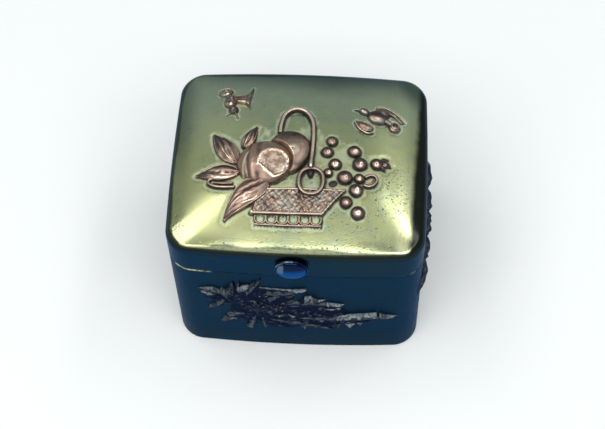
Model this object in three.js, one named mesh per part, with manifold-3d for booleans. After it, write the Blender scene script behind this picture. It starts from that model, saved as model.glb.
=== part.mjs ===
// A small keepsake box in mixed metals: a bowed brass box with a domed, hinged lid, cast copper and
// brass ornaments soldered on, and a push-button catch. Millimetres, +Z up.
// The origin is the centre of the underside, the front faces -Y and the hinge is at the back.

import * as THREE from 'three';
import { mergeVertices } from 'three/addons/utils/BufferGeometryUtils.js';
import Module from 'manifold-3d';

// Outside of the box
const BOX_WIDTH = 50.8;
const BOX_DEPTH = 43.6;
const FRONT_BOW = 1.05;
const SIDE_BOW = 0.45;
const CORNER_RADIUS = 4.8;
const BASE_HEIGHT = 30.3;
const FOOT_ROUND = 0.5;
const SEAM_GAP = 0.2;
const SKIRT_HEIGHT = 6.0;
const LID_EDGE_RADIUS = 2.0;
const LID_EDGE_TURN = 65;
const DOME_RISE = 4.2;
const DOME_POWER = 2.4;

// Sheet metal and how the sheets fit
const BASE_SHEET = 1.0;
const LID_SHEET = 0.8;
const FLOOR_SHEET = 1.0;
const RIM_SHEET = 0.8;
const RIM_BELOW_SEAM = 10;
const RIM_CLEARANCE = 0.25;
const SOLDER_GAP = 0.1;

// Hinge
const HINGE_LENGTH = 18;
const KNUCKLE_COUNT = 5;
const KNUCKLE_RADIUS = 1.1;
const KNUCKLE_GAP = 0.15;
const KNUCKLE_CLEARANCE = 0.12;
const KNUCKLE_SET_IN = 0.2;
const PIN_RADIUS = 0.45;
const PIN_CLEARANCE = 0.07;
const LEAF_SHEET = 0.6;
const LEAF_LENGTH = 3.0;
const LEAF_NOTCH_GAP = 0.35;
const OPEN_ANGLE = 100;
const STOP_MARGIN = 2;

// Button and catch
const BUTTON_X = -0.4;
const BUTTON_RISE = 4.2;
const BUTTON_RADIUS = 3.3;
const BUTTON_RIM = 0.4;
const BUTTON_CROWN = 0.9;
const BUTTON_TRAVEL = 0.4;
const BUTTON_END_GAP = 0.2;
const SHANK_RADIUS = 1.0;
const SHANK_TIP = 0.4;
const SHANK_CLEARANCE = 0.12;
const SHANK_OVER_RIM = 0.4;
const BUSH_SHEET = 0.6;
const KEEPER_WIDTH = 6.4;
const KEEPER_DEPTH = 1.0;
const KEEPER_SHEET = 0.8;
const KEEPER_BELOW_SEAM = 2.5;
const SPRING_WIDTH = 5.0;
const SPRING_SHEET = 0.4;
const SPRING_BEHIND_KEEPER = 0.35;
const HOOK_BITE = 0.55;
const HOOK_SHEET = 0.6;
const HOOK_GAP = 0.4;
const PIVOT_BELOW_CEILING = 1.1;
const BRACKET_DEPTH = 1.3;
const BRACKET_BELOW_PIVOT = 0.7;
const BRACKET_GAP = 0.2;

// Ornament: drawn for a box of this size, and stretched with the box
const DRAWING_WIDTH = 50.8;
const DRAWING_DEPTH = 43.6;
const DRAWING_HEIGHT = 30.3;
const ORNAMENT_GAP = 0.15;
const OVERLAP_GAP = 0.18;
const LEAF_THICKNESS = 0.9;
const BASKET_THICKNESS = 0.8;
const FOOT_THICKNESS = 0.7;
const FOOT_OPENINGS = 6;
const FOOT_OPENING_RADIUS = 0.62;
const PEACH_FRONT_HEIGHT = 2.3;
const PEACH_REAR_HEIGHT = 1.8;
const GRAPE_HEIGHT = 0.95;
const BIRD_HEIGHT = 1.1;
const HANDLE_WIRE_RADIUS = 0.55;
const RING_WIRE_RADIUS = 0.42;
const TENDRIL_WIRE_RADIUS = 0.28;
const WALL_LEAF_THICKNESS = 1.2;
const SIDE_LEAF_THICKNESS = 1.5;
const BLOSSOM_PETALS = 6;

// Fineness of the mesh
const CORNER_STEPS = 4;
const FACE_STEPS = 6;
const DOME_STEPS = 6;
const EDGE_STEPS = 2;
const ROUND_STEPS = 20;

// Worked out from the sizes above
const HALF_WIDTH = BOX_WIDTH / 2 - SIDE_BOW;
const HALF_DEPTH = BOX_DEPTH / 2 - FRONT_BOW;
const LEAST_CORNER = 0.5;
const LID_BOTTOM = BASE_HEIGHT + SEAM_GAP;
const LID_WALL_TOP = LID_BOTTOM + SKIRT_HEIGHT;
const RIM_INSET = Math.max(BASE_SHEET + SOLDER_GAP / 2, LID_SHEET + RIM_CLEARANCE);
const BUTTON_Z = LID_BOTTOM + BUTTON_RISE;
const RIM_TOP = BUTTON_Z - SHANK_RADIUS - SHANK_OVER_RIM;
const RIM_BOTTOM = BASE_HEIGHT - RIM_BELOW_SEAM;
const HINGE_Y = BOX_DEPTH / 2 - KNUCKLE_SET_IN - KNUCKLE_RADIUS;
const HINGE_Z = BASE_HEIGHT + SEAM_GAP / 2;
const GROOVE_RADIUS = KNUCKLE_RADIUS + KNUCKLE_CLEARANCE;
const BORE_RADIUS = PIN_RADIUS + PIN_CLEARANCE;
const BUTTON_STANDOFF = BUTTON_TRAVEL + BUTTON_END_GAP;
const BUSH_RADIUS = SHANK_RADIUS + SHANK_CLEARANCE + BUSH_SHEET;
const KEEPER_BACK = -(frontReach(KEEPER_WIDTH / 2 + Math.abs(BUTTON_X), RIM_INSET + RIM_SHEET) - SOLDER_GAP);
const KEEPER_EDGE = KEEPER_BACK + KEEPER_DEPTH;
const KEEPER_TOP = BASE_HEIGHT - KEEPER_BELOW_SEAM;
const SPRING_FRONT = KEEPER_EDGE + SPRING_BEHIND_KEEPER;
const SPRING_BACK = SPRING_FRONT + SPRING_SHEET;
const HOOK_TOP = KEEPER_TOP - KEEPER_SHEET - HOOK_GAP;
const SPRING_PIVOT_Z = domeHeight(BUTTON_X, SPRING_FRONT, LID_SHEET) - PIVOT_BELOW_CEILING;

const wasm = await Module();
wasm.setup();

// Half the depth of the box at x, and half its width at y, to a wall face set in by inset
function reach(along, half, acrossHalf, bow, inset) {
  const corner = Math.max(CORNER_RADIUS - inset, LEAST_CORNER);
  const past = Math.max(Math.abs(along) - (half - inset - corner), 0);
  const drop = corner - Math.sqrt(Math.max(corner ** 2 - past ** 2, 0));
  return acrossHalf - inset + bow * (1 - (along / (half - inset)) ** 2) - drop;
}

function frontReach(x, inset = 0) {
  return reach(x, HALF_WIDTH, HALF_DEPTH, FRONT_BOW, inset);
}

function sideReach(y, inset = 0) {
  return reach(y, HALF_DEPTH, HALF_WIDTH, SIDE_BOW, inset);
}

// Plan of the box, set in by inset: a rounded rectangle whose four faces swell
function outline(inset) {
  const halfWidth = HALF_WIDTH - inset;
  const halfDepth = HALF_DEPTH - inset;
  const radius = Math.max(CORNER_RADIUS - inset, LEAST_CORNER);
  const centre = new THREE.Vector2(halfWidth - radius, halfDepth - radius);
  const arcPoint = (quarter, step) => {
    const angle = (quarter + step / CORNER_STEPS) * (Math.PI / 2);
    const signX = quarter === 0 || quarter === 3 ? 1 : -1;
    const signY = quarter < 2 ? 1 : -1;
    const x = signX * centre.x + radius * Math.cos(angle);
    const y = signY * centre.y + radius * Math.sin(angle);
    return new THREE.Vector2(x, y);
  };
  const points = [];
  for (let quarter = 0; quarter < 4; quarter++) {
    for (let step = 0; step <= CORNER_STEPS; step++) points.push(arcPoint(quarter, step));
    const from = arcPoint(quarter, CORNER_STEPS);
    const to = arcPoint((quarter + 1) % 4, 0);
    for (let step = 1; step < FACE_STEPS; step++) {
      points.push(from.clone().lerp(to, step / FACE_STEPS));
    }
  }
  return points.map(({ x, y }) => new THREE.Vector2(
    x + Math.sign(x) * SIDE_BOW * (1 - (y / halfDepth) ** 2),
    y + Math.sign(y) * FRONT_BOW * (1 - (x / halfWidth) ** 2),
  ));
}

// How far out (x, y) lies towards a closed plan: 0 at its centre and 1 on it
function gauge(x, y, plan) {
  for (let i = 0; i < plan.length; i++) {
    const start = plan[i];
    const edge = plan[(i + 1) % plan.length].clone().sub(start);
    const across = x * edge.y - y * edge.x;
    const share = (start.x * y - start.y * x) / across;
    const times = (start.x * edge.y - start.y * edge.x) / across;
    if (times > 0 && share >= -1e-9 && share <= 1 + 1e-9) return 1 / times;
  }
  return 0;
}

// The lid's rounded edge, on the outside (sheet 0) or the inside of the sheet
function lidEdge(sheet, turn) {
  const radius = LID_EDGE_RADIUS - sheet;
  const angle = THREE.MathUtils.degToRad(turn);
  const inset = LID_EDGE_RADIUS - radius * Math.cos(angle);
  return { inset, z: LID_WALL_TOP + radius * Math.sin(angle) };
}

// Height of the lid's dome over (x, y), on the outside or the inside of the sheet
function domeHeight(x, y, sheet = 0) {
  const edge = lidEdge(sheet, LID_EDGE_TURN);
  const out = gauge(x, y, outline(edge.inset));
  return edge.z + DOME_RISE * (1 - out ** DOME_POWER);
}

// Rings and lofts
function ring(inset, z) {
  return outline(inset).map(({ x, y }) => new THREE.Vector3(x, y, z));
}

function indexed(points, triangles) {
  const geometry = new THREE.BufferGeometry();
  geometry.setFromPoints(points);
  geometry.setIndex(triangles);
  return geometry;
}

function sleeve(rings, closed) {
  const count = rings[0].length;
  const triangles = [];
  for (let level = 0; level < rings.length - (closed ? 0 : 1); level++) {
    const low = level * count;
    const high = ((level + 1) % rings.length) * count;
    for (let i = 0; i < count; i++) {
      const next = (i + 1) % count;
      triangles.push(low + i, low + next, high + next, low + i, high + next, high + i);
    }
  }
  return triangles;
}

// A band whose section runs through the rings and back to the first
function band(rings) {
  return indexed(rings.flat(), sleeve(rings, true));
}

// A shell from one tip through the rings to the other tip
function tippedLoft(firstTip, rings, lastTip) {
  const count = rings[0].length;
  const points = [...rings.flat(), firstTip, lastTip];
  const triangles = sleeve(rings, false);
  const lastRow = (rings.length - 1) * count;
  for (let i = 0; i < count; i++) {
    const next = (i + 1) % count;
    triangles.push(points.length - 2, next, i);
    triangles.push(points.length - 1, lastRow + i, lastRow + next);
  }
  return indexed(points, triangles);
}

// Closed solids: one vertex per place, no empty triangles, faces pointing out
function closed(geometry) {
  geometry.deleteAttribute('normal');
  geometry.deleteAttribute('uv');
  const merged = mergeVertices(geometry, 1e-4);
  const { array } = merged.getAttribute('position');
  const source = merged.getIndex().array;
  const corner = (i) => new THREE.Vector3().fromArray(array, 3 * i);
  const kept = [];
  let volume = 0;
  for (let i = 0; i < source.length; i += 3) {
    const [a, b, c] = source.slice(i, i + 3);
    if (a === b || b === c || c === a) continue;
    kept.push(a, b, c);
    volume += corner(a).dot(corner(b).cross(corner(c)));
  }
  merged.setIndex(volume < 0 ? kept.reverse() : kept);
  return merged;
}

function solid(geometry) {
  const clean = closed(geometry);
  const vertProperties = Float32Array.from(clean.getAttribute('position').array);
  const triVerts = Uint32Array.from(clean.getIndex().array);
  return new wasm.Manifold(new wasm.Mesh({ numProp: 3, vertProperties, triVerts }));
}

function geometryOf(manifold) {
  const { vertProperties, triVerts } = manifold.getMesh();
  const geometry = new THREE.BufferGeometry();
  geometry.setAttribute('position', new THREE.BufferAttribute(vertProperties, 3));
  geometry.setIndex(new THREE.BufferAttribute(triVerts, 1));
  return geometry;
}

function cut(geometry, ...tools) {
  return geometryOf(tools.reduce((body, tool) => body.subtract(solid(tool)), solid(geometry)));
}

function join(...pieces) {
  return geometryOf(pieces.map(solid).reduce((body, piece) => body.add(piece)));
}

// Plain shapes along the hinge (X) or through the front wall (Y)
function rodAlongX(radius, length, x, y, z) {
  return new THREE.CylinderGeometry(radius, radius, length, ROUND_STEPS)
    .rotateZ(Math.PI / 2).translate(x, y, z);
}

function rodAlongY(radius, fromY, toY, x, z) {
  return new THREE.CylinderGeometry(radius, radius, toY - fromY, ROUND_STEPS)
    .translate(x, (fromY + toY) / 2, z);
}

function block(minX, maxX, minY, maxY, minZ, maxZ) {
  return new THREE.BoxGeometry(maxX - minX, maxY - minY, maxZ - minZ)
    .translate((minX + maxX) / 2, (minY + maxY) / 2, (minZ + maxZ) / 2);
}

// An outline in (y, z) drawn out along X
function drawnAlongX(points, width, x) {
  const shape = new THREE.Shape(points.map(([y, z]) => new THREE.Vector2(y, z)));
  const axes = new THREE.Matrix4().makeBasis(
    new THREE.Vector3(0, 1, 0), new THREE.Vector3(0, 0, 1), new THREE.Vector3(1, 0, 0));
  return new THREE.ExtrudeGeometry(shape, { depth: width, bevelEnabled: false })
    .applyMatrix4(axes).translate(x - width / 2, 0, 0);
}

// Materials
function metal(colour, roughness) {
  return new THREE.MeshStandardMaterial({ color: colour, roughness, metalness: 1 });
}

const BRASS = () => metal(0x9c9a68, 0.42);
const DARK_BRASS = () => metal(0x5c5a44, 0.5);
const COPPER = () => metal(0xb58a78, 0.4);
const DARK_COPPER = () => metal(0x7a5148, 0.45);
const STEEL = () => metal(0x7c8ba0, 0.2);

const box = new THREE.Group();

function add(name, geometry, material) {
  const mesh = new THREE.Mesh(closed(geometry), material);
  mesh.name = name;
  box.add(mesh);
}

// The bevel that both parts of the back seam share, and the groove that the barrel lies in
function backBevel() {
  const halfAngle = THREE.MathUtils.degToRad(OPEN_ANGLE / 2 + STOP_MARGIN);
  const depth = BOX_DEPTH / 2 - HINGE_Y + LID_EDGE_RADIUS;
  const rise = depth * Math.tan(halfAngle);
  const points = [[HINGE_Y, HINGE_Z], [HINGE_Y + depth, HINGE_Z - rise], [HINGE_Y + depth, HINGE_Z + rise]];
  return drawnAlongX(points, BOX_WIDTH + LID_EDGE_RADIUS, 0);
}

function hingeGroove() {
  return rodAlongX(GROOVE_RADIUS, HINGE_LENGTH + 2 * KNUCKLE_GAP, 0, HINGE_Y, HINGE_Z);
}

// Base
function baseWall() {
  const softEdge = FOOT_ROUND * (1 - Math.SQRT1_2);
  const section = [
    ring(BASE_SHEET, 0), ring(FOOT_ROUND, 0), ring(softEdge, softEdge), ring(0, FOOT_ROUND),
    ring(0, BASE_HEIGHT), ring(BASE_SHEET, BASE_HEIGHT),
  ];
  return cut(band(section), backBevel(), hingeGroove());
}

function baseFloor() {
  const inset = BASE_SHEET + SOLDER_GAP;
  const middle = (z) => new THREE.Vector3(0, 0, z);
  return tippedLoft(middle(0), [ring(inset, 0), ring(inset, FLOOR_SHEET)], middle(FLOOR_SHEET));
}

function locatingRim() {
  const inner = RIM_INSET + RIM_SHEET;
  const section = [
    ring(inner, RIM_BOTTOM), ring(RIM_INSET, RIM_BOTTOM), ring(RIM_INSET, RIM_TOP), ring(inner, RIM_TOP),
  ];
  const halfNotch = HINGE_LENGTH / 2 + LEAF_NOTCH_GAP;
  const notchBottom = HINGE_Z - KNUCKLE_RADIUS - LEAF_LENGTH - LEAF_NOTCH_GAP;
  const notch = block(-halfNotch, halfNotch, HALF_DEPTH / 2, BOX_DEPTH, notchBottom, RIM_TOP + RIM_SHEET);
  return cut(band(section), notch);
}

function catchPlate() {
  const half = KEEPER_WIDTH / 2;
  const bottom = KEEPER_TOP - KEEPER_SHEET;
  return block(BUTTON_X - half, BUTTON_X + half, KEEPER_BACK, KEEPER_EDGE, bottom, KEEPER_TOP);
}

add('base_wall', baseWall(), DARK_BRASS());
add('base_floor', baseFloor(), DARK_BRASS());
add('locating_rim', locatingRim(), BRASS());
add('catch_plate', catchPlate(), BRASS());

// Hinge: odd knuckles belong to the base and even ones to the lid, each with its leaf
const KNUCKLE_PITCH = HINGE_LENGTH / KNUCKLE_COUNT;
const KNUCKLE_LENGTH = KNUCKLE_PITCH - KNUCKLE_GAP;

function knuckle(number) {
  const onLid = number % 2 === 0;
  const x = (number - (KNUCKLE_COUNT + 1) / 2) * KNUCKLE_PITCH;
  const half = KNUCKLE_LENGTH / 2;
  const wallInset = onLid ? LID_SHEET : BASE_SHEET;
  const leafBack = frontReach(Math.abs(x) + half, wallInset) - SOLDER_GAP;
  const leafEnd = KNUCKLE_RADIUS + LEAF_LENGTH;
  const leaf = block(x - half, x + half, leafBack - LEAF_SHEET, leafBack,
    onLid ? HINGE_Z : HINGE_Z - leafEnd, onLid ? HINGE_Z + leafEnd : HINGE_Z);
  const barrel = rodAlongX(KNUCKLE_RADIUS, KNUCKLE_LENGTH, x, HINGE_Y, HINGE_Z);
  const bore = rodAlongX(BORE_RADIUS, KNUCKLE_PITCH, x, HINGE_Y, HINGE_Z);
  return cut(join(barrel, leaf), bore);
}

for (let number = 1; number <= KNUCKLE_COUNT; number++) {
  add(`hinge_knuckle_${number}`, knuckle(number), BRASS());
}
add('hinge_pin', rodAlongX(PIN_RADIUS, HINGE_LENGTH, 0, HINGE_Y, HINGE_Z), STEEL());

// Lid
function lidShell() {
  const side = (sheet) => {
    const edge = lidEdge(sheet, LID_EDGE_TURN);
    const rings = [];
    for (let step = 1; step <= DOME_STEPS; step++) {
      const out = step / DOME_STEPS;
      const z = edge.z + DOME_RISE * (1 - out ** DOME_POWER);
      rings.push(outline(edge.inset).map((p) => new THREE.Vector3(p.x * out, p.y * out, z)));
    }
    for (let step = EDGE_STEPS - 1; step >= 0; step--) {
      const { inset, z } = lidEdge(sheet, (LID_EDGE_TURN * step) / EDGE_STEPS);
      rings.push(ring(inset, z));
    }
    rings.push(ring(sheet, LID_BOTTOM));
    return rings;
  };
  const tip = (sheet) => new THREE.Vector3(0, 0, domeHeight(0, 0, sheet));
  const shell = tippedLoft(tip(0), [...side(0), ...side(LID_SHEET).reverse()], tip(LID_SHEET));
  const hole = throughSkirt(BUSH_RADIUS + SOLDER_GAP, LID_SHEET);
  return cut(shell, backBevel(), hingeGroove(), hole);
}

// A round bar through the lid's front skirt at the button, standing past both faces by over
function throughSkirt(radius, over) {
  const face = -frontReach(BUTTON_X);
  return rodAlongY(radius, face - over, face + LID_SHEET + over, BUTTON_X, BUTTON_Z);
}

function buttonBush() {
  return cut(throughSkirt(BUSH_RADIUS, 0), throughSkirt(SHANK_RADIUS + SHANK_CLEARANCE, LID_SHEET));
}

// The bracket hangs from the dome, behind the top of the spring
function latchBracket() {
  const bottom = SPRING_PIVOT_Z - BRACKET_BELOW_PIVOT;
  const front = SPRING_BACK + BRACKET_GAP;
  const geometry = new THREE.BoxGeometry(SPRING_WIDTH, BRACKET_DEPTH, 1, 2, 2, 1);
  const position = geometry.getAttribute('position');
  for (let i = 0; i < position.count; i++) {
    const x = BUTTON_X + position.getX(i);
    const y = front + BRACKET_DEPTH / 2 + position.getY(i);
    const ceiling = domeHeight(x, y, LID_SHEET) - ORNAMENT_GAP;
    position.setXYZ(i, x, y, position.getZ(i) > 0 ? ceiling : bottom);
  }
  return geometry;
}

function latchSpring() {
  const hookFront = KEEPER_EDGE - HOOK_BITE;
  const hookBottom = HOOK_TOP - HOOK_SHEET;
  const top = SPRING_PIVOT_Z + PIVOT_BELOW_CEILING / 2;
  const hookNose = HOOK_TOP - HOOK_SHEET / 3;
  const points = [
    [SPRING_FRONT, top], [SPRING_FRONT, HOOK_TOP], [hookFront, HOOK_TOP], [hookFront, hookNose],
    [SPRING_FRONT, hookBottom], [SPRING_BACK, hookBottom], [SPRING_BACK, top],
  ];
  return drawnAlongX(points, SPRING_WIDTH, BUTTON_X);
}

// The button's profile runs from its crown, outside the wall, to the shank's tip at the spring
function pushButton() {
  const face = -frontReach(BUTTON_X);
  const back = face - BUTTON_STANDOFF;
  const rim = back - BUTTON_RIM;
  const tip = SPRING_FRONT - SHANK_CLEARANCE;
  const crown = (share) => new THREE.Vector2(
    BUTTON_RADIUS * Math.sin((share * Math.PI) / 2), rim - BUTTON_CROWN * Math.cos((share * Math.PI) / 2));
  const profile = [
    crown(0), crown(0.3), crown(0.6), crown(0.85), crown(1),
    new THREE.Vector2(BUTTON_RADIUS, back), new THREE.Vector2(SHANK_RADIUS, back),
    new THREE.Vector2(SHANK_RADIUS, tip - SHANK_TIP), new THREE.Vector2(SHANK_RADIUS / 2, tip - SHANK_TIP / 4),
    new THREE.Vector2(0, tip),
  ];
  profile[0].x = 0;
  return new THREE.LatheGeometry(profile, ROUND_STEPS).translate(BUTTON_X, 0, BUTTON_Z);
}

add('lid_shell', lidShell(), BRASS());
add('button_bush', buttonBush(), BRASS());
add('latch_bracket', latchBracket(), BRASS());
add('latch_spring', latchSpring(), STEEL());
add('push_button', pushButton(), STEEL());

// Surfaces that the ornament lies on: (u, v) on the drawing and h above the metal
function onLid(u, v, h) {
  const x = (u * BOX_WIDTH) / DRAWING_WIDTH;
  const y = (v * BOX_DEPTH) / DRAWING_DEPTH;
  return new THREE.Vector3(x, y, domeHeight(x, y) + h);
}

function onFront(u, v, h) {
  const x = (u * BOX_WIDTH) / DRAWING_WIDTH;
  return new THREE.Vector3(x, -frontReach(x) - h, (v * BASE_HEIGHT) / DRAWING_HEIGHT);
}

// Side faces: u runs towards the back on the right face and towards the front on the left one
function onSide(sign) {
  return (u, v, h) => {
    const y = (sign * u * BOX_DEPTH) / DRAWING_DEPTH;
    return new THREE.Vector3(sign * (sideReach(y) + h), y, (v * BASE_HEIGHT) / DRAWING_HEIGHT);
  };
}

function drape(geometry, surface) {
  const position = geometry.getAttribute('position');
  for (let i = 0; i < position.count; i++) {
    const { x, y, z } = surface(position.getX(i), position.getY(i), position.getZ(i));
    position.setXYZ(i, x, y, z);
  }
  return geometry;
}

// A crowned leaf from base to tip, its midrib bowed sideways; grow widens it for a cutting copy
function leaf({ base, tip, half, bow = 0, thick = LEAF_THICKNESS, steps = 8 }, grow = 0) {
  const geometry = new THREE.BoxGeometry(1, 1, 1, steps, 2, 1);
  const from = new THREE.Vector2(...base);
  const along = new THREE.Vector2(...tip).sub(from);
  const across = new THREE.Vector2(-along.y, along.x).normalize();
  const leastShare = 0.12;
  const position = geometry.getAttribute('position');
  for (let i = 0; i < position.count; i++) {
    const s = position.getX(i) + 0.5;
    const t = 2 * position.getY(i);
    const swell = Math.sin(Math.PI * s ** 0.75);
    const width = half * (leastShare + (1 - leastShare) * swell) + grow;
    const place = from.clone().addScaledVector(along, s + (s - 0.5) * 2 * (grow / along.length()));
    place.addScaledVector(across, t * width + bow * 4 * s * (1 - s));
    const crown = thick * (0.45 + 0.55 * (1 - t ** 2)) * (0.55 + 0.45 * Math.sin(Math.PI * s));
    const top = ORNAMENT_GAP + crown + 2 * grow;
    position.setXYZ(i, place.x, place.y, position.getZ(i) > 0 ? top : ORNAMENT_GAP - 2 * grow);
  }
  return geometry;
}

// A round-topped boss on an oval, steep at its edge
function boss({ at, half, height, sides = 12, rings = 3 }, grow = 0) {
  const base = ORNAMENT_GAP - 2 * grow;
  const steep = 0.3 * height;
  const profile = [new THREE.Vector2(0, base), new THREE.Vector2(1, base)];
  for (let step = 0; step <= rings; step++) {
    const angle = (step / rings) * (Math.PI / 2);
    const radius = step === rings ? 0 : Math.cos(angle);
    profile.push(new THREE.Vector2(radius, ORNAMENT_GAP + steep + (height - steep) * Math.sin(angle) + grow));
  }
  const geometry = new THREE.LatheGeometry(profile, sides);
  const position = geometry.getAttribute('position');
  for (let i = 0; i < position.count; i++) {
    const u = at[0] + (half[0] + grow) * position.getX(i);
    const v = at[1] - (half[1] + grow) * position.getZ(i);
    position.setXYZ(i, u, v, position.getY(i));
  }
  return geometry;
}

// Round wire through points (u, v, h) on a surface
function wire(points, radius, surface, steps) {
  const curve = new THREE.CatmullRomCurve3(points.map(([u, v, h]) => surface(u, v, h)));
  const section = new THREE.Shape().absarc(0, 0, radius, 0, 2 * Math.PI);
  const options = { steps, extrudePath: curve, curveSegments: 4, bevelEnabled: false };
  return new THREE.ExtrudeGeometry(section, options);
}

// A closed loop of wire, its height running from lowest at the back to highest at the front
function loop({ at, half, radius, back, front, steps }, surface) {
  const geometry = new THREE.TorusGeometry(1, 1, 8, steps);
  const position = geometry.getAttribute('position');
  const { radialSegments, tubularSegments } = geometry.parameters;
  let i = 0;
  for (let j = 0; j <= radialSegments; j++) {
    const round = (j / radialSegments) * 2 * Math.PI;
    for (let k = 0; k <= tubularSegments; k++) {
      const turn = (k / tubularSegments) * 2 * Math.PI;
      const out = radius * Math.cos(round);
      const u = at[0] + (half[0] + out) * Math.cos(turn);
      const v = at[1] + (half[1] + out) * Math.sin(turn);
      const middle = back + ((front - back) * (1 - Math.sin(turn))) / 2;
      const { x, y, z } = surface(u, v, middle + radius * Math.sin(round));
      position.setXYZ(i, x, y, z);
      i += 1;
    }
  }
  return geometry;
}

// Fruit
const PEACH_FRONT = { at: [-6.4, -3.6], half: [5.3, 4.7], height: PEACH_FRONT_HEIGHT, sides: 28, rings: 5 };
const PEACH_REAR = { at: [-1.6, -0.9], half: [3.5, 4.3], height: PEACH_REAR_HEIGHT, sides: 24, rings: 4 };
const underPeach = () => drape(boss(PEACH_FRONT, OVERLAP_GAP), onLid);

add('peach_front', drape(boss(PEACH_FRONT), onLid), COPPER());
add('peach_rear', cut(drape(boss(PEACH_REAR), onLid), underPeach()), COPPER());

const GRAPES = [
  { at: [6.4, 1.9], radius: 1.15 }, { at: [5.6, -0.65], radius: 1.2 }, { at: [7.3, -3.3], radius: 1.25 },
  { at: [10.9, 0.0], radius: 1.3 }, { at: [12.05, -2.8], radius: 1.45 }, { at: [15.3, -2.3], radius: 1.25 },
  { at: [5.95, -5.3], radius: 0.92 }, { at: [9.25, -6.15], radius: 1.5 }, { at: [12.0, -6.05], radius: 1.05 },
  { at: [11.45, -8.75], radius: 1.35 }, { at: [9.65, -11.3], radius: 1.2 }, { at: [11.9, -13.3], radius: 1.3 },
];
GRAPES.forEach(({ at, radius }, i) => {
  const geometry = boss({ at, half: [radius, radius], height: GRAPE_HEIGHT });
  add(`grape_${i + 1}`, drape(geometry, onLid), COPPER());
});

// Leaves round the fruit; the front peach lies over their bases
const LID_LEAVES = {
  leaf_back_left: { base: [-11.9, -3.4], tip: [-17.0, 3.4], half: 1.9 },
  leaf_back: { base: [-10.9, 0.1], tip: [-8.5, 4.7], half: 1.2 },
  leaf_left: { base: [-11.4, -5.6], tip: [-19.6, -5.65], half: 1.65 },
  leaf_curl: { base: [-12.7, -8.5], tip: [-17.1, -7.9], half: 0.55, bow: 0.35 },
  leaf_front: { base: [-5.8, -7.2], tip: [-13.5, -15.5], half: 2.3, bow: -0.8 },
  vine_leaf: { base: [16.85, -1.5], tip: [17.9, -3.0], half: 0.55, steps: 4 },
};
for (const [name, spec] of Object.entries(LID_LEAVES)) {
  add(name, cut(drape(leaf(spec), onLid), underPeach()), COPPER());
}

// Basket: a tapered woven body, an arcaded foot, a hooped handle and a ring
function basketBody() {
  const backLeft = new THREE.Vector2(-7.4, -9.25);
  const backRight = new THREE.Vector2(9.4, -8.85);
  const frontLeft = new THREE.Vector2(-8.4, -13.9);
  const frontRight = new THREE.Vector2(5.1, -13.75);
  const geometry = new THREE.BoxGeometry(1, 1, 1, 10, 4, 1);
  const position = geometry.getAttribute('position');
  for (let i = 0; i < position.count; i++) {
    const s = position.getX(i) + 0.5;
    const t = position.getY(i) + 0.5;
    const place = frontLeft.clone().lerp(frontRight, s).lerp(backLeft.clone().lerp(backRight, s), t);
    const crown = BASKET_THICKNESS * (0.75 + 0.25 * Math.sin(Math.PI * s));
    const top = ORNAMENT_GAP + crown;
    position.setXYZ(i, place.x, place.y, position.getZ(i) > 0 ? top : ORNAMENT_GAP);
  }
  return cut(drape(geometry, onLid), drape(leaf(LID_LEAVES.leaf_front, OVERLAP_GAP), onLid));
}

function basketFoot() {
  const left = -7.7;
  const right = 5.05;
  const front = -16.6;
  const back = -14.45;
  const pitch = (right - left) / FOOT_OPENINGS;
  const shape = new THREE.Shape();
  shape.moveTo(left, front);
  for (let bay = 1; bay <= FOOT_OPENINGS; bay++) shape.lineTo(left + bay * pitch, front);
  for (let bay = FOOT_OPENINGS; bay >= 0; bay--) shape.lineTo(left + bay * pitch, back);
  for (let bay = 0; bay < FOOT_OPENINGS; bay++) {
    const hole = new THREE.Path();
    hole.absarc(left + (bay + 0.5) * pitch, (front + back) / 2, FOOT_OPENING_RADIUS, 0, 2 * Math.PI, true);
    shape.holes.push(hole);
  }
  const options = { depth: FOOT_THICKNESS, curveSegments: 5, bevelEnabled: false };
  const geometry = new THREE.ExtrudeGeometry(shape, options);
  return drape(geometry.translate(0, 0, ORNAMENT_GAP), onLid);
}

const RING = {
  at: [2.75, -7.3], half: [2.3, 2.45], radius: RING_WIRE_RADIUS, back: 0.65, front: 1.6, steps: 20,
};
const HANDLE_LOW = ORNAMENT_GAP + HANDLE_WIRE_RADIUS + 0.05;
const HANDLE_OVER_RING = RING.back + RING.radius + HANDLE_WIRE_RADIUS + 2 * OVERLAP_GAP;
const HANDLE_POINTS = [
  [-3.75, 4.1, HANDLE_LOW], [-3.6, 5.4, HANDLE_LOW], [-2.95, 8.05, HANDLE_LOW], [-1.0, 9.5, HANDLE_LOW],
  [1.05, 8.75, HANDLE_LOW], [2.4, 6.45, HANDLE_LOW], [2.75, 3.6, HANDLE_LOW], [2.75, 0.5, HANDLE_LOW],
  [2.65, -2.4, HANDLE_LOW], [2.6, -3.9, HANDLE_OVER_RING - 0.2], [2.6, -4.9, HANDLE_OVER_RING],
  [2.6, -6.4, HANDLE_OVER_RING - 0.3],
];
const TENDRIL = {
  at: [14.45, -6.3], half: [0.85, 0.95], radius: TENDRIL_WIRE_RADIUS, back: 0.5, front: 0.5, steps: 12,
};

add('basket_body', basketBody(), COPPER());
add('basket_foot', basketFoot(), COPPER());
add('basket_handle', wire(HANDLE_POINTS, HANDLE_WIRE_RADIUS, onLid, 26), COPPER());
add('basket_ring', loop(RING, onLid), COPPER());
add('tendril', loop(TENDRIL, onLid), COPPER());

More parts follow.
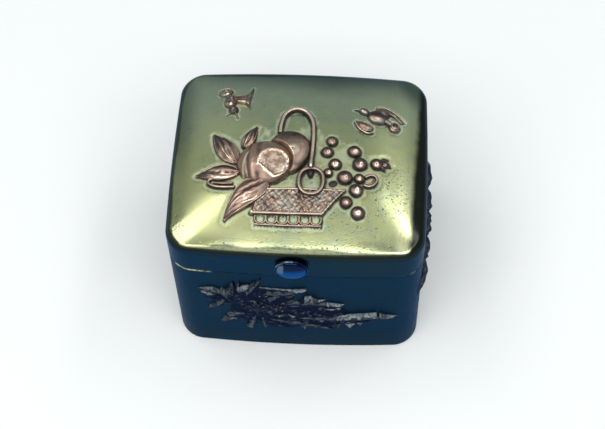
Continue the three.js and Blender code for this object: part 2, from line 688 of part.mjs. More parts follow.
// Birds in flight: a head and body with two wings, a beak and, on the right one, a tail
const BIRDS = {
  bird_left: {
    bosses: [{ at: [-13.55, 9.45], half: [0.95, 0.95] }, { at: [-14.3, 11.5], half: [1.15, 1.6] }],
    leaves: [
      { base: [-14.2, 11.6], tip: [-16.1, 15.0], half: 1.05 },
      { base: [-14.1, 11.4], tip: [-9.9, 13.2], half: 1.5 },
      { base: [-13.5, 9.4], tip: [-12.4, 7.3], half: 0.4 },
    ],
  },
  bird_right: {
    bosses: [{ at: [12.6, 9.8], half: [0.95, 0.95] }, { at: [15.1, 8.8], half: [2.1, 1.45] }],
    leaves: [
      { base: [15.0, 9.2], tip: [20.3, 8.9], half: 1.1, bow: 1.2 },
      { base: [15.2, 8.2], tip: [10.9, 6.7], half: 1.05, bow: 0.6 },
      { base: [16.2, 8.4], tip: [19.7, 6.8], half: 0.85 },
      { base: [12.6, 9.8], tip: [10.9, 9.3], half: 0.4 },
    ],
  },
};
for (const [name, { bosses, leaves }] of Object.entries(BIRDS)) {
  const rounds = bosses.map((spec) => drape(boss({ ...spec, height: BIRD_HEIGHT, sides: 10 }), onLid));
  const wings = leaves.map((spec) => drape(leaf({ ...spec, steps: 6 }), onLid));
  add(name, join(...rounds, ...wings), COPPER());
}

// Flower sprays on the walls
function blossom({ at, radius, thick }, surface) {
  const parts = [drape(boss({ at, half: [0.4 * radius, 0.4 * radius], height: thick }), surface)];
  for (let petal = 0; petal < BLOSSOM_PETALS; petal++) {
    const angle = (petal / BLOSSOM_PETALS) * 2 * Math.PI;
    const tip = [at[0] + radius * Math.cos(angle), at[1] + radius * Math.sin(angle)];
    parts.push(drape(leaf({ base: at, tip, half: 0.42 * radius, thick: 0.8 * thick, steps: 3 }), surface));
  }
  return join(...parts);
}

const FRONT_BLOSSOM = { at: [-7.9, 17.6], radius: 2.7, thick: WALL_LEAF_THICKNESS };
const FRONT_LEAVES = [
  { base: [-12.2, 22.4], tip: [-19.5, 24.1], half: 1.8, bow: -0.6 },
  { base: [-10.6, 21.8], tip: [-7.5, 28.4], half: 1.35 },
  { base: [-6.4, 23.6], tip: [2.7, 26.7], half: 1.5, bow: -0.5 },
  { base: [-4.2, 19.6], tip: [10.2, 20.6], half: 1.7, bow: 0.6 },
  { base: [1.2, 13.6], tip: [20.6, 14.9], half: 2.1, bow: -0.4 },
  { base: [-11.0, 15.6], tip: [-16.0, 11.2], half: 1.45 },
  { base: [-8.3, 13.8], tip: [-9.4, 7.3], half: 1.25 },
  { base: [-5.0, 12.8], tip: [7.4, 8.2], half: 1.5, bow: 0.5 },
];
add('front_blossom', blossom(FRONT_BLOSSOM, onFront), DARK_COPPER());
FRONT_LEAVES.forEach((spec, i) => {
  const geometry = drape(leaf({ ...spec, thick: WALL_LEAF_THICKNESS }), onFront);
  add(`front_leaf_${i + 1}`, geometry, DARK_COPPER());
});

const SIDE_BLOSSOM = { at: [1.0, 17.5], radius: 3.0, thick: SIDE_LEAF_THICKNESS };
const SIDE_LEAVES = [
  { base: [-2.9, 17.2], tip: [-16.2, 20.4], half: 2.2, bow: -0.8 },
  { base: [4.9, 18.0], tip: [13.6, 21.5], half: 1.9, bow: 0.6 },
];
for (const [side, sign] of [['right', 1], ['left', -1]]) {
  add(`side_${side}_blossom`, blossom(SIDE_BLOSSOM, onSide(sign)), DARK_COPPER());
  SIDE_LEAVES.forEach((spec, i) => {
    const geometry = drape(leaf({ ...spec, thick: SIDE_LEAF_THICKNESS }), onSide(sign));
    add(`side_${side}_leaf_${i + 1}`, geometry, DARK_COPPER());
  });
}

export default box;
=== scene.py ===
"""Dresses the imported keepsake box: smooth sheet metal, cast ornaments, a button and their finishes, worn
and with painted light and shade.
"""

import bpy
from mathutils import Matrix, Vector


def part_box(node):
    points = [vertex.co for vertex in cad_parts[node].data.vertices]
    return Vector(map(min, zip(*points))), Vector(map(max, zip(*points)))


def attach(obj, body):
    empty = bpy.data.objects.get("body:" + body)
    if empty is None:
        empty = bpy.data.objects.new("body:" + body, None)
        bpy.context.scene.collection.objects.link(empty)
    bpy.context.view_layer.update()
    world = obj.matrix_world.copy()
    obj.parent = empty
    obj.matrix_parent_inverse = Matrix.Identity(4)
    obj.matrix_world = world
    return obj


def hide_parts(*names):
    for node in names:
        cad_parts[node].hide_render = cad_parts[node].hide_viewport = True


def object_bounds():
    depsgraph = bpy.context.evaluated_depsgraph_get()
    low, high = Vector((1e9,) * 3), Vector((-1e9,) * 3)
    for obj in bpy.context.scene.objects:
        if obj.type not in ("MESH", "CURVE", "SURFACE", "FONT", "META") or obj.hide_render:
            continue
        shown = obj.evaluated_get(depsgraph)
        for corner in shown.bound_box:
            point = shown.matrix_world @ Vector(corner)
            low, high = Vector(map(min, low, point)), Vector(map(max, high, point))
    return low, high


bl_info = {
    "name": "Keepsake Box",
    "version": (1, 0, 0),
    "blender": (4, 5, 0),
    "location": "View3D > Sidebar > Box",
    "description": "Builds a small mixed-metal keepsake box around its packed solids",
    "category": "Object",
}

import bisect
import math

import bmesh
import bpy
from bpy.props import FloatProperty, FloatVectorProperty, PointerProperty
from mathutils import Matrix, Vector, noise
from mathutils.kdtree import KDTree

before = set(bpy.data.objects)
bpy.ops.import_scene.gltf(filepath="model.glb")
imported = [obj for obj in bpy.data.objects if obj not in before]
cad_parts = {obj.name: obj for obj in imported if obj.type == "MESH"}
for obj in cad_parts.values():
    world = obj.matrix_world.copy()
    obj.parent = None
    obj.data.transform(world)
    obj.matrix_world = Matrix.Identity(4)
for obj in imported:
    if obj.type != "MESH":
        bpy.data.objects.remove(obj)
CAD_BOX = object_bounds()

MM = 0.001
WALL_LOW, WALL_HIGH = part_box("base_wall")
LID_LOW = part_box("lid_shell")[0]
RIM_LOW, RIM_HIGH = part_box("locating_rim")
BUTTON_LOW, BUTTON_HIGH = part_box("push_button")
BUSH_LOW, BUSH_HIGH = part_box("button_bush")
PIN_LOW, PIN_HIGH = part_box("hinge_pin")

# Shape of the sheets, in millimetres
LEAST_CORNER = 0.5
EDGE_TURN = math.radians(65)
DOME_POWER = 2.4
HIP_POWER = 4.5
HIP_FADE = 4
BASE_SHEET = 1.0
LID_SHEET = 0.8
RIM_INSET = 1.05
RIM_SHEET = 0.8
FOOT_ROUND = 0.5
BEVEL_SLOPE = math.tan(math.radians(52))
GROOVE_RADIUS = 1.22
GROOVE_END_GAP = 0.15
NOTCH_GAP = 0.35
LIP_ROUND = 0.12
LIP_SHARE = LIP_ROUND / 6
PLAN_RINGS = 96
POLAR_STEPS = 1440
MERGE_DISTANCE = 0.002

# How far ornaments are let into their ground, and how far it is lowered against them
SINK = 0.12
GROUND_DEPTH = 0.04

# What the meshes remember about their points and faces
# Wear of the pieces, which also carries their painted highlights and painted shade
WEAR_AND_PAINTED_LIGHT = "wear"
GROUND = "ground"
LEDGE_HIGHLIGHT = "ledge"
LINING = "lining"
WAY = "way"

# Heights in metres over which a finish, a painted shade or a painted highlight comes in, from none of it to
# all of it
EDGE_POLISH = (0.0396, 0.0387)
TURNED_EDGE_SHADE = (0.0384, 0.0381)
EDGE_SHADE = (0.0368, 0.0376)
SKIRT_SHADE_AND_PATINA = (0.0382, 0.0375)
LID_SEAM = (0.03082, 0.03058)
BASE_SEAM = (0.03, 0.03022)
BUTTON_SHADE = (0.0346, 0.0362)


def length(name, description, default):
    return FloatProperty(name=name, description=description, unit="LENGTH", default=default)


class BoxSizes(bpy.types.PropertyGroup):
    """Sizes of the box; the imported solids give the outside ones."""

    width: length("Width", "Width across the swell of the sides", WALL_HIGH.x - WALL_LOW.x)
    depth: length("Depth", "Depth across the swell of the front and back", WALL_HIGH.y - WALL_LOW.y)
    base_height: length("Base height", "Height of the base's wall", WALL_HIGH.z)
    lid_bottom: length("Lid bottom", "Height of the lid's lower edge", LID_LOW.z)
    skirt_height: length("Skirt height", "Height of the lid's upright skirt", 0.006)
    front_bow: length("Front bow", "Swell of the front and back faces", 0.00105)
    side_bow: length("Side bow", "Swell of the side faces", 0.00045)
    corner_radius: length("Corner radius", "Round of the upright corners", 0.0048)
    edge_radius: length("Edge radius", "Round of the lid's upper edge", 0.002)
    dome_rise: length("Dome rise", "Rise of the dome above the lid's edge", 0.0042)


def colour(name, description, default):
    return FloatVectorProperty(
        name=name, description=description, subtype="COLOR", size=3, min=0, max=1, default=default)


class BoxColours(bpy.types.PropertyGroup):
    """Colours of the metals and of the floor."""

    lid_brass: colour("Lid brass", "Rubbed brass on top of the lid", (0.55, 0.565, 0.28))
    # Painted highlight: a pale streak on the lid's right shoulder
    shoulder_highlight: colour("Bright brass", "Shoulder of the lid, rubbed bright by hands", (0.86, 0.87, 0.50))
    lid_patina: colour("Lid patina", "Olive patina on top of the lid", (0.44, 0.485, 0.285))
    # Painted reflection: a sage-green cast over the lid's back half
    back_sage_reflection: colour("Back sage", "Sage patina over the lid's back half", (0.45, 0.57, 0.45))
    # Painted shade towards the lid's back, its left and its back right corner
    lid_edge_shade: colour("Edge patina", "Dark patina towards the lid's back and left", (0.05, 0.095, 0.095))
    # Painted shade where the lid's edge rolls down; also olive stains inside the box
    olive_shade_and_stain: colour("Edge olive", "Dull brass where the lid turns down", (0.075, 0.083, 0.052))
    # Painted shade and painted blue reflection over the darkened brass of the walls and the lid's skirt; also
    # a stain on the steel
    wall_shade_and_stain: colour("Side brass", "Darkened brass of the upright walls", (0.0068, 0.0258, 0.0525))
    # Lighter patches of the walls' painted shade and reflection
    side_olive: colour("Side olive", "Less darkened patches of the walls", (0.0125, 0.028, 0.035))
    side_sheen: colour("Side sheen", "Tint of the walls' glancing reflections", (0.52, 0.62, 0.80))
    inner_brass: colour("Inner brass", "Brass inside the box", (0.36, 0.31, 0.16))
    verdigris: colour("Verdigris", "Grey-green bloom round the ornaments", (0.40, 0.45, 0.38))
    # Dark colour of the soiling in pits and against ornaments, also used as painted shade along the lid's
    # right edge, under its edge and on the skirt's front right
    grime_and_shade: colour("Grime", "Dirt against the ornaments and in pits", (0.03, 0.034, 0.028))
    copper: colour("Copper", "Cast copper of the lid's ornaments", (0.40, 0.262, 0.195))
    # Rubbed copper, also the colour of painted highlights on the ornaments
    rubbed_copper_and_highlight: colour("Rubbed copper", "High parts of the copper", (0.95, 0.77, 0.60))
    # Copper in hollows, also the colour of painted shade on the ornaments
    copper_hollows_and_shade: colour("Dark copper", "Hollows of the copper", (0.052, 0.036, 0.038))
    # Painted shade in the sprays' hollows and under their ledges, and at the button's top
    spray_shade: colour("Dark spray", "Hollows of the wall sprays", (0.008, 0.010, 0.026))
    # Painted shade and painted blue reflection over the sprays' copper
    spray_copper: colour("Spray copper", "Copper of the wall sprays", (0.042, 0.048, 0.072))
    # Painted highlight on the sprays' ledges, and pale flecks
    spray_highlight: colour("Rubbed spray", "Ledges of the wall sprays", (0.115, 0.140, 0.137))
    steel: colour("Steel", "Drawn steel of the pin and catch", (0.42, 0.43, 0.45))
    # Painted blue reflection over polished steel
    button: colour("Button steel", "Blued, polished steel of the button", (0.006, 0.065, 0.24))
    # Painted highlight on the button's rim
    button_rim_highlight: colour("Button rim", "Rubbed rim of the button", (0.10, 0.15, 0.21))
    floor: colour("Floor", "Pale floor", (0.90, 0.90, 0.895))


# Shader maths


class Value:
    """A node's output that Python's operators carry on with Math nodes."""

    def __init__(self, finish, socket):
        self.finish = finish
        self.socket = socket

    def math(self, operation, first, second):
        return self.finish.node("ShaderNodeMath", {"operation": operation}, {0: first, 1: second})

    def __add__(self, other):
        return self.math("ADD", self, other)

    def __radd__(self, other):
        return self.math("ADD", other, self)

    def __sub__(self, other):
        return self.math("SUBTRACT", self, other)

    def __rsub__(self, other):
        return self.math("SUBTRACT", other, self)

    def __mul__(self, other):
        return self.math("MULTIPLY", self, other)

    def __rmul__(self, other):
        return self.math("MULTIPLY", other, self)


class Finish:
    """One procedural material under construction."""

    def __init__(self, name):
        self.material = bpy.data.materials.new(name)
        self.material.use_nodes = True
        self.tree = self.material.node_tree
        self.tree.nodes.clear()
        self.place = self.node("ShaderNodeTexCoord", output="Object")

    def node(self, kind, settings=None, inputs=None, output=0):
        """Adds a node: its settings first, then the values or links of its sockets."""
        node = self.tree.nodes.new(kind)
        for name, value in (settings or {}).items():
            setattr(node, name, value)
        for name, value in (inputs or {}).items():
            if isinstance(value, Value):
                self.tree.links.new(value.socket, node.inputs[name])
            else:
                node.inputs[name].default_value = value
        return Value(self, node.outputs[output]) if node.outputs else None

    def noise(self, size, detail=3.0, stretch=None):
        """Noise whose patches are about size millimetres across."""
        place = self.place
        if stretch:
            place = self.node("ShaderNodeMapping", None, {"Vector": place, "Scale": stretch})
        return self.node(
            "ShaderNodeTexNoise", None, {"Vector": place, "Scale": 1 / (size * MM), "Detail": detail})

    def pits(self, size):
        """Distance from scattered points that lie about size millimetres apart."""
        return self.node(
            "ShaderNodeTexVoronoi", None, {"Vector": self.place, "Scale": 1 / (size * MM)})

    def ramp(self, value, low, high):
        """A smooth step from 0 at low to 1 at high; low may be above high."""
        return self.node(
            "ShaderNodeMapRange", {"interpolation_type": "SMOOTHSTEP"},
            {"Value": value, "From Min": low, "From Max": high})

    def attribute(self, name):
        return self.node("ShaderNodeAttribute", {"attribute_name": name}, output="Fac")

    def along(self, axis):
        return self.node("ShaderNodeSeparateXYZ", None, {0: self.place}, axis)

    def most(self, first, second):
        return self.node("ShaderNodeMath", {"operation": "MAXIMUM"}, {0: first, 1: second})

    def mix(self, share, first, second):
        return self.node(
            "ShaderNodeMix", {"data_type": "RGBA"},
            {0: share, 6: paint(first), 7: paint(second)}, 2)

    def bump(self, height, depth, strength):
        """A Bump node whose full height is depth millimetres."""
        return self.node(
            "ShaderNodeBump", None, {"Height": height, "Distance": depth * MM, "Strength": strength})

    def shade(self, base, **inputs):
        """Ends the material with a Principled shader and returns it."""
        sockets = {"Base Color": paint(base)}
        sockets.update({name.replace("_", " ").title(): value for name, value in inputs.items()})
        shader = self.node("ShaderNodeBsdfPrincipled", None, sockets)
        self.node("ShaderNodeOutputMaterial", None, {"Surface": shader})
        return self.material


def paint(value):
    """A colour for a socket; links pass through."""
    return value if isinstance(value, Value) else (*value[:3], 1.0)


def made_once(make):
    """Keeps a material by its name, so that like pieces share it."""
    name = f"finish_{make.__name__}"

    def wanted(colours):
        return bpy.data.materials.get(name) or make(Finish(name), colours)
    return wanted


@made_once
def lid_brass(finish, colours):
    """Rubbed olive brass, green by ornaments, with a painted highlight on the right shoulder, painted shade
    on the skirt, round the edges and towards the back, and a painted sage reflection over the back half.
    """
    broad = finish.noise(9.0)
    cloud = finish.noise(2.2, 5.0)
    grain = finish.noise(0.35, 4.0)
    across = finish.along("X")
    back = finish.along("Y")
    height = finish.along("Z")
    rubbed = finish.ramp(broad * 0.6 + cloud * 0.4, 0.42, 0.62)
    specks = finish.ramp(finish.noise(0.4, 1.0), 0.615, 0.69) * finish.ramp(broad, 0.40, 0.56)
    specks = specks * (0.25 + finish.ramp(back, 0.002, -0.007) * 0.75)
    pits = finish.ramp(finish.pits(1.9), 0.12, 0.05) * finish.ramp(cloud, 0.47, 0.56)
    ground = finish.attribute(GROUND)
    patchy = ground + (finish.noise(1.3, 4.0) - 0.5) * 1.7
    halo = finish.ramp(patchy, 0.25, 0.9) * finish.ramp(ground, 0.05, 0.6)
    # Soiling against the ornaments, with a painted contact shadow
    dirt_and_shadow = finish.ramp(ground + (cloud - 0.5) * 0.5, 0.72, 0.96)
    skirt = finish.ramp(height + (broad - 0.5) * 0.0003, *SKIRT_SHADE_AND_PATINA)
    middle = finish.ramp(across, 0.012, 0.005) * finish.ramp(across, -0.022, -0.012)
    uneven = (broad - 0.5) * 0.0008 + middle * 0.0003 - finish.ramp(across, 0.013, 0.018) * 0.0002
    # Painted shade on the rounded edge below its bright line
    turned = finish.ramp(height - uneven, *TURNED_EDGE_SHADE)
    polished = finish.ramp(height, *EDGE_POLISH)
    # Painted shade: a dark band along the lid's right edge
    right = finish.ramp(across - back * 0.05 + (cloud - 0.5) * 0.0008, 0.0221, 0.0235)
    # Painted highlight along the lid's right shoulder
    streak = finish.ramp(across, 0.0186, 0.0206) * finish.ramp(back, 0.004, -0.009) * (0.5 + rubbed * 0.4)
    # Painted shade on the skirt at its front right
    beside = finish.ramp(across, 0.0228, 0.0242) * finish.ramp(back, -0.019, -0.013)
    aside = finish.node("ShaderNodeMath", {"operation": "ABSOLUTE"}, {0: across - 0.006})
    # Painted shade towards the back edge, the left edge and the back right corner
    rear = finish.ramp(back - aside * 0.12, 0.0115, 0.0205)
    left = finish.ramp(across, -0.0195, -0.0245) * (0.1 + finish.ramp(back, -0.012, 0.006) * 0.5)
    corner = finish.ramp(across + back, 0.033, 0.040)
    dull = finish.most(finish.most(rear * 0.85, left), corner * 0.8)
    top = finish.mix(rubbed, colours.lid_brass, colours.lid_patina)
    # Painted reflection: a sage-green cast over the back half
    top = finish.mix(finish.ramp(back, -0.002, 0.014) * 0.55, top, colours.back_sage_reflection)
    top = finish.mix(streak, top, colours.shoulder_highlight)
    top = finish.mix(dull, top, colours.lid_edge_shade)
    top = finish.mix(halo * 0.42, top, colours.verdigris)
    top = finish.mix(turned * 0.95, top, colours.olive_shade_and_stain)
    top = finish.mix(finish.most(right, dirt_and_shadow * 0.9), top, colours.grime_and_shade)
    top = finish.mix(specks * 0.7 + pits * 0.5, top, colours.grime_and_shade)
    # The skirt takes the walls' painted shade and reflection, lighter in clouds and towards the right
    olive = finish.ramp(cloud, 0.45, 0.7) * 0.6 + finish.ramp(across, -0.004, 0.012) * 0.6
    side = finish.mix(olive, colours.wall_shade_and_stain, colours.side_olive)
    under_edge = finish.ramp(height, *EDGE_SHADE) * 0.6
    side = finish.mix(finish.most(beside, under_edge), side, colours.grime_and_shade)
    base = finish.mix(skirt, top, side)
    base = finish.mix(seam_glints(finish, height, *LID_SEAM), base, colours.lid_brass)
    lining = finish.mix(rubbed * 0.6, colours.inner_brass, colours.olive_shade_and_stain)
    base = finish.mix(finish.attribute(LINING), base, lining)
    relief = grain * 0.5 + cloud * 0.5 - specks * 0.6 - pits * 0.8
    roughness = 0.20 + cloud * 0.09 + halo * 0.22 + skirt * 0.21 - polished * 0.09
    return finish.shade(
        base, metallic=1.0 - halo * 0.4, roughness=roughness,
        normal=finish.bump(relief, 0.03, 0.5), specular_tint=paint(colours.side_sheen))


def seam_glints(finish, height, dull, bright):
    """Painted highlights on the seam in rubbed brass: a stretch near the left corner and a small one near the
    right.
    """
    across = finish.along("X")
    front = finish.ramp(finish.along("Y"), -0.012, -0.016)
    left = finish.ramp(across, -0.0158, -0.0178) * finish.ramp(across, -0.0242, -0.0232)
    right = finish.ramp(across, 0.0224, 0.0229) * finish.ramp(across, 0.0238, 0.0232)
    uneven = finish.ramp(finish.noise(0.9, 2.0), 0.34, 0.60)
    return finish.ramp(height, dull, bright) * front * (left * 0.9 + right * 0.35) * uneven


@made_once
def wall_brass(finish, colours):
    """Painted shade and painted blue reflection over darkened brass, lighter in clouds, at the left corner
    and towards the foot.
    """
    broad = finish.noise(11.0)
    cloud = finish.noise(2.6, 5.0)
    grain = finish.noise(0.4, 4.0)
    height = finish.along("Z")
    # Lighter painted reflection towards the foot and at the left corner
    foot = finish.ramp(height, 0.010, 0.001) * 0.8
    corner = finish.ramp(finish.along("X"), -0.018, -0.0245) * 0.45
    share = finish.ramp(broad * 0.55 + cloud * 0.45, 0.46, 0.68) * 0.55 + foot + corner
    specks = finish.ramp(finish.noise(0.5, 1.0), 0.69, 0.75)
    base = finish.mix(share, colours.wall_shade_and_stain, colours.side_olive)
    base = finish.mix(specks * 0.5, base, colours.grime_and_shade)
    base = finish.mix(seam_glints(finish, height, *BASE_SEAM), base, colours.lid_brass)
    lining = finish.mix(share, colours.inner_brass, colours.olive_shade_and_stain)
    base = finish.mix(finish.attribute(LINING), base, lining)
    relief = grain * 0.5 + cloud * 0.5 - specks * 0.5
    return finish.shade(
        base, metallic=1.0, roughness=0.36 + cloud * 0.14 + specks * 0.15,
        normal=finish.bump(relief, 0.03, 0.5), specular_tint=paint(colours.side_sheen))


@made_once
def inner_brass(finish, colours):
    """Plain drawn brass inside the box, with faint drawing lines and stains."""
    stain = finish.noise(5.0, 4.0)
    lines = finish.noise(0.3, 3.0, (0.06, 0.06, 1.0))
    base = finish.mix(finish.ramp(stain, 0.4, 0.7) * 0.8, colours.inner_brass, colours.olive_shade_and_stain)
    return finish.shade(
        base, metallic=1.0, roughness=0.36 + stain * 0.14 + lines * 0.08,
        normal=finish.bump(lines * 0.6 + stain * 0.4, 0.02, 0.5))


def copper(finish, colours, stained):
    """Cast copper: dark hollows with a trace of green, rubbed bright on the high parts; the pieces' wear also
    carries painted highlights and painted shade.
    """
    cloud = finish.noise(1.3, 4.0)
    grain = finish.noise(0.22, 3.0)
    wear = finish.attribute(WEAR_AND_PAINTED_LIGHT) + (cloud - 0.5) * 0.3 + (grain - 0.5) * 0.16
    hollow = finish.ramp(wear, 0.34, 0.12)
    stain = finish.ramp(finish.noise(2.4, 4.0), 0.38, 0.62) * finish.ramp(wear, 0.8, 0.45) * stained
    base = finish.mix(finish.ramp(wear, 0.16, 0.52), colours.copper_hollows_and_shade, colours.copper)
    base = finish.mix(finish.ramp(wear, 0.62, 0.98), base, colours.rubbed_copper_and_highlight)
    base = finish.mix(stain, base, colours.verdigris)
    base = finish.mix(hollow * 0.75, base, colours.copper_hollows_and_shade)
    rubbed = finish.ramp(wear, 0.3, 0.9)
    return finish.shade(
        base, metallic=1.0 - hollow * 0.3, roughness=0.42 - rubbed * 0.15 + grain * 0.08,
        normal=finish.bump(grain * 0.55 + cloud * 0.45, 0.05, 0.6))


@made_once
def cast_copper(finish, colours):
    """Copper of the fruit and leaves."""
    return copper(finish, colours, 0.12)


@made_once
def stained_copper(finish, colours):
    """Copper of the basket and the birds, dulled by stains."""
    return copper(finish, colours, 0.42)


@made_once
def spray_copper(finish, colours):
    """Copper of the wall sprays in painted shade and painted blue reflection, with painted highlights on the
    ledges and pale flecks.
    """
    cloud = finish.noise(1.5, 4.0)
    grain = finish.noise(0.25, 3.0)
    wear = finish.attribute(WEAR_AND_PAINTED_LIGHT) + (cloud - 0.5) * 0.35 + (grain - 0.5) * 0.15
    ledge = finish.attribute(LEDGE_HIGHLIGHT) + (cloud - 0.5) * 0.8 + (grain - 0.5) * 0.5
    # Painted highlight on the ledges, broken by noise
    pale = finish.ramp(ledge + (finish.noise(0.7) - 0.5) * 0.9, 0.3, 1.1)
    pale = pale * (0.3 + finish.ramp(finish.noise(0.5, 2.0), 0.40, 0.58) * 0.8)
    flecks = finish.ramp(wear + (finish.noise(0.8) - 0.5) * 1.3, 0.46, 0.84) * 0.7
    pale = finish.most(pale, flecks)
    base = finish.mix(finish.ramp(wear, 0.1, 0.6), colours.spray_shade, colours.spray_copper)
    base = finish.mix(pale, base, colours.spray_highlight)
    return finish.shade(
        base, metallic=1.0, roughness=0.46 - pale * 0.08 + grain * 0.1,
        normal=finish.bump(grain * 0.55 + cloud * 0.45, 0.1, 0.7), specular_tint=paint(colours.side_sheen))


@made_once
def drawn_steel(finish, colours):
    """Plain drawn steel with fine lines along its length."""
    lines = finish.noise(0.25, 2.0, (0.05, 1.0, 1.0))
    stain = finish.noise(2.5, 3.0)
    base = finish.mix(finish.ramp(stain, 0.5, 0.75) * 0.5, colours.steel, colours.wall_shade_and_stain)
    return finish.shade(
        base, metallic=1.0, roughness=0.28 + lines * 0.12, normal=finish.bump(lines, 0.015, 0.5))


@made_once
def button_steel(finish, colours):
    """Polished steel painted dark blue as a painted reflection, with painted shade towards its top and
    painted highlights on the rim.
    """
    wear = finish.attribute(WEAR_AND_PAINTED_LIGHT)
    haze = finish.noise(0.9, 4.0)
    rubbed = finish.ramp(wear + (haze - 0.5) * 0.3, 0.45, 0.75)
    # Painted shade towards the top
    upper = finish.ramp(finish.along("Z") + (haze - 0.5) * 0.0006, *BUTTON_SHADE)
    base = finish.mix(upper * 0.9, colours.button, colours.spray_shade)
    base = finish.mix(rubbed * 0.9, base, colours.button_rim_highlight)
    return finish.shade(
        base, metallic=1.0, roughness=0.13 + haze * 0.1, normal=finish.bump(haze, 0.012, 0.4),
        specular_tint=paint(colours.side_sheen))


@made_once
def pale_floor(finish, colours):
    """Plain pale floor with the least unevenness."""
    cloud = finish.noise(140.0, 2.0)
    base = finish.mix(cloud * 0.06, colours.floor, colours.verdigris)
    return finish.shade(base, roughness=0.7 + cloud * 0.05)


# The box's form


class Face:
    """A face that ornaments lie on: (u, v) along it and h out of it, in millimetres."""

    def __init__(self, out, at):
        self.out = Vector(out)
        self.at = at


class Form:
    """Plan, walls and dome of the box in millimetres, from the panel's sizes."""

    def __init__(self, sizes):
        self.front_bow = sizes.front_bow / MM
        self.side_bow = sizes.side_bow / MM
        self.half_width = sizes.width / MM / 2 - self.side_bow
        self.half_depth = sizes.depth / MM / 2 - self.front_bow
        self.corner = sizes.corner_radius / MM
        self.base_height = sizes.base_height / MM
        self.lid_bottom = sizes.lid_bottom / MM
        self.wall_top = self.lid_bottom + sizes.skirt_height / MM
        self.edge_radius = sizes.edge_radius / MM
        self.dome_rise = sizes.dome_rise / MM
        self.hinge_y = (PIN_LOW.y + PIN_HIGH.y) / 2 / MM
        self.hinge_z = (PIN_LOW.z + PIN_HIGH.z) / 2 / MM
        self.hinge_half = PIN_HIGH.x / MM
        inset, self.dome_foot = self.edge(0, EDGE_TURN)
        self.dome_half = self.plan((1, 0), inset)[0], self.plan((0, 1), inset)[1]
        polar = []
        for step in range(POLAR_STEPS):
            x, y = self.plan(ring_way(step / POLAR_STEPS), inset)
            polar.append((math.atan2(y, x), math.hypot(x, y)))
        polar.sort()
        polar = [(polar[-1][0] - math.tau, polar[-1][1]), *polar, (polar[0][0] + math.tau, polar[0][1])]
        self.angles = [angle for angle, radius in polar]
        self.radii = [radius for angle, radius in polar]
        self.lid = Face((0, 0, 1), lambda u, v, h: Vector((u, v, self.dome(u, v) + h)))
        self.front = Face((0, -1, 0), lambda u, v, h: Vector((u, -self.front_reach(u) - h, v)))
        self.right = Face((1, 0, 0), lambda u, v, h: Vector((self.side_reach(u) + h, u, v)))
        self.left = Face((-1, 0, 0), lambda u, v, h: Vector((-self.side_reach(u) - h, -u, v)))

    def plan(self, way, inset):
        """Point of the plan, set in by inset, that the point way of a square ring stands for."""
        half_x = self.half_width - inset
        half_y = self.half_depth - inset
        corner = max(self.corner - inset, LEAST_CORNER)
        x = half_x * abs(way[0])
        y = half_y * abs(way[1])
        past_x = x - half_x + corner
        past_y = y - half_y + corner
        if past_x > 0 and past_y > 0:
            angle = (past_y + corner - past_x) / corner * math.pi / 4
            x = half_x - corner + corner * math.cos(angle)
            y = half_y - corner + corner * math.sin(angle)
        bowed_x = x + self.side_bow * (1 - (y / half_y) ** 2)
        bowed_y = y + self.front_bow * (1 - (x / half_x) ** 2)
        return math.copysign(bowed_x, way[0]), math.copysign(bowed_y, way[1])

    def reach(self, along, half, across, bow):
        past = max(abs(along) - half + self.corner, 0)
        drop = self.corner - math.sqrt(max(self.corner ** 2 - past ** 2, 0))
        return across + bow * (1 - (along / half) ** 2) - drop

    def front_reach(self, x):
        return self.reach(x, self.half_width, self.half_depth, self.front_bow)

    def side_reach(self, y):
        return self.reach(y, self.half_depth, self.half_width, self.side_bow)

    def edge(self, sheet, turn):
        """Inset and height of the lid's rounded edge, on the outside or the inside of the sheet."""
        radius = self.edge_radius - sheet
        return self.edge_radius - radius * math.cos(turn), self.wall_top + radius * math.sin(turn)

    def dome(self, x, y):
        """Height of the dome: its level lines are soft ovals inside and follow the plan at the edge."""
        angle = math.atan2(y, x)
        after = min(bisect.bisect(self.angles, angle), len(self.angles) - 1)
        span = self.angles[after] - self.angles[after - 1]
        share = (angle - self.angles[after - 1]) / span if span else 0
        radius = self.radii[after - 1] + share * (self.radii[after] - self.radii[after - 1])
        out = math.hypot(x, y) / radius
        shares = [abs(far / half) for far, half in zip((x, y), self.dome_half)]
        oval = sum(share ** HIP_POWER for share in shares) ** (1 / HIP_POWER)
        out += (oval - out) * (1 - out ** HIP_FADE)
        return self.dome_foot + self.dome_rise * (1 - out ** DOME_POWER)

    def back_cut(self, x, y):
        """How far the bevel and the groove of the hinge cut from the hinge's height at (x, y)."""
        out = y - self.hinge_y
        cut = max(out, 0) * BEVEL_SLOPE
        if abs(x) < self.hinge_half + GROOVE_END_GAP and abs(out) < GROOVE_RADIUS:
            cut = max(cut, math.sqrt(GROOVE_RADIUS ** 2 - out ** 2))
        return cut

    def base_top(self, x, y):
        return min(self.base_height, self.hinge_z - self.back_cut(x, y))

    def lid_foot(self, x, y):
        return max(self.lid_bottom, self.hinge_z + self.back_cut(x, y))


def ring_way(share):
    """Point of a square ring of half side 1, share of the way round it."""
    side, along = divmod(share * 4, 1)
    along = 2 * along - 1
    return ((1, along), (-along, 1), (-1, -along), (along, -1))[int(side) % 4]


def smooth(value, low, high):
    """A smooth step from 0 at low to 1 at high; low may be above high."""
    share = min(max((value - low) / (high - low), 0), 1)
    return share * share * (3 - 2 * share)


# Mesh tools


def new_mesh():
    bm = bmesh.new()
    bm.verts.layers.float.new(WEAR_AND_PAINTED_LIGHT)
    return bm


def join(bm, *parts):
    """Moves the parts' meshes into bm."""
    for part in parts:
        mesh = bpy.data.meshes.new("part")
        part.to_mesh(mesh)
        part.free()
        bm.from_mesh(mesh)
        bpy.data.meshes.remove(mesh)
    return bm


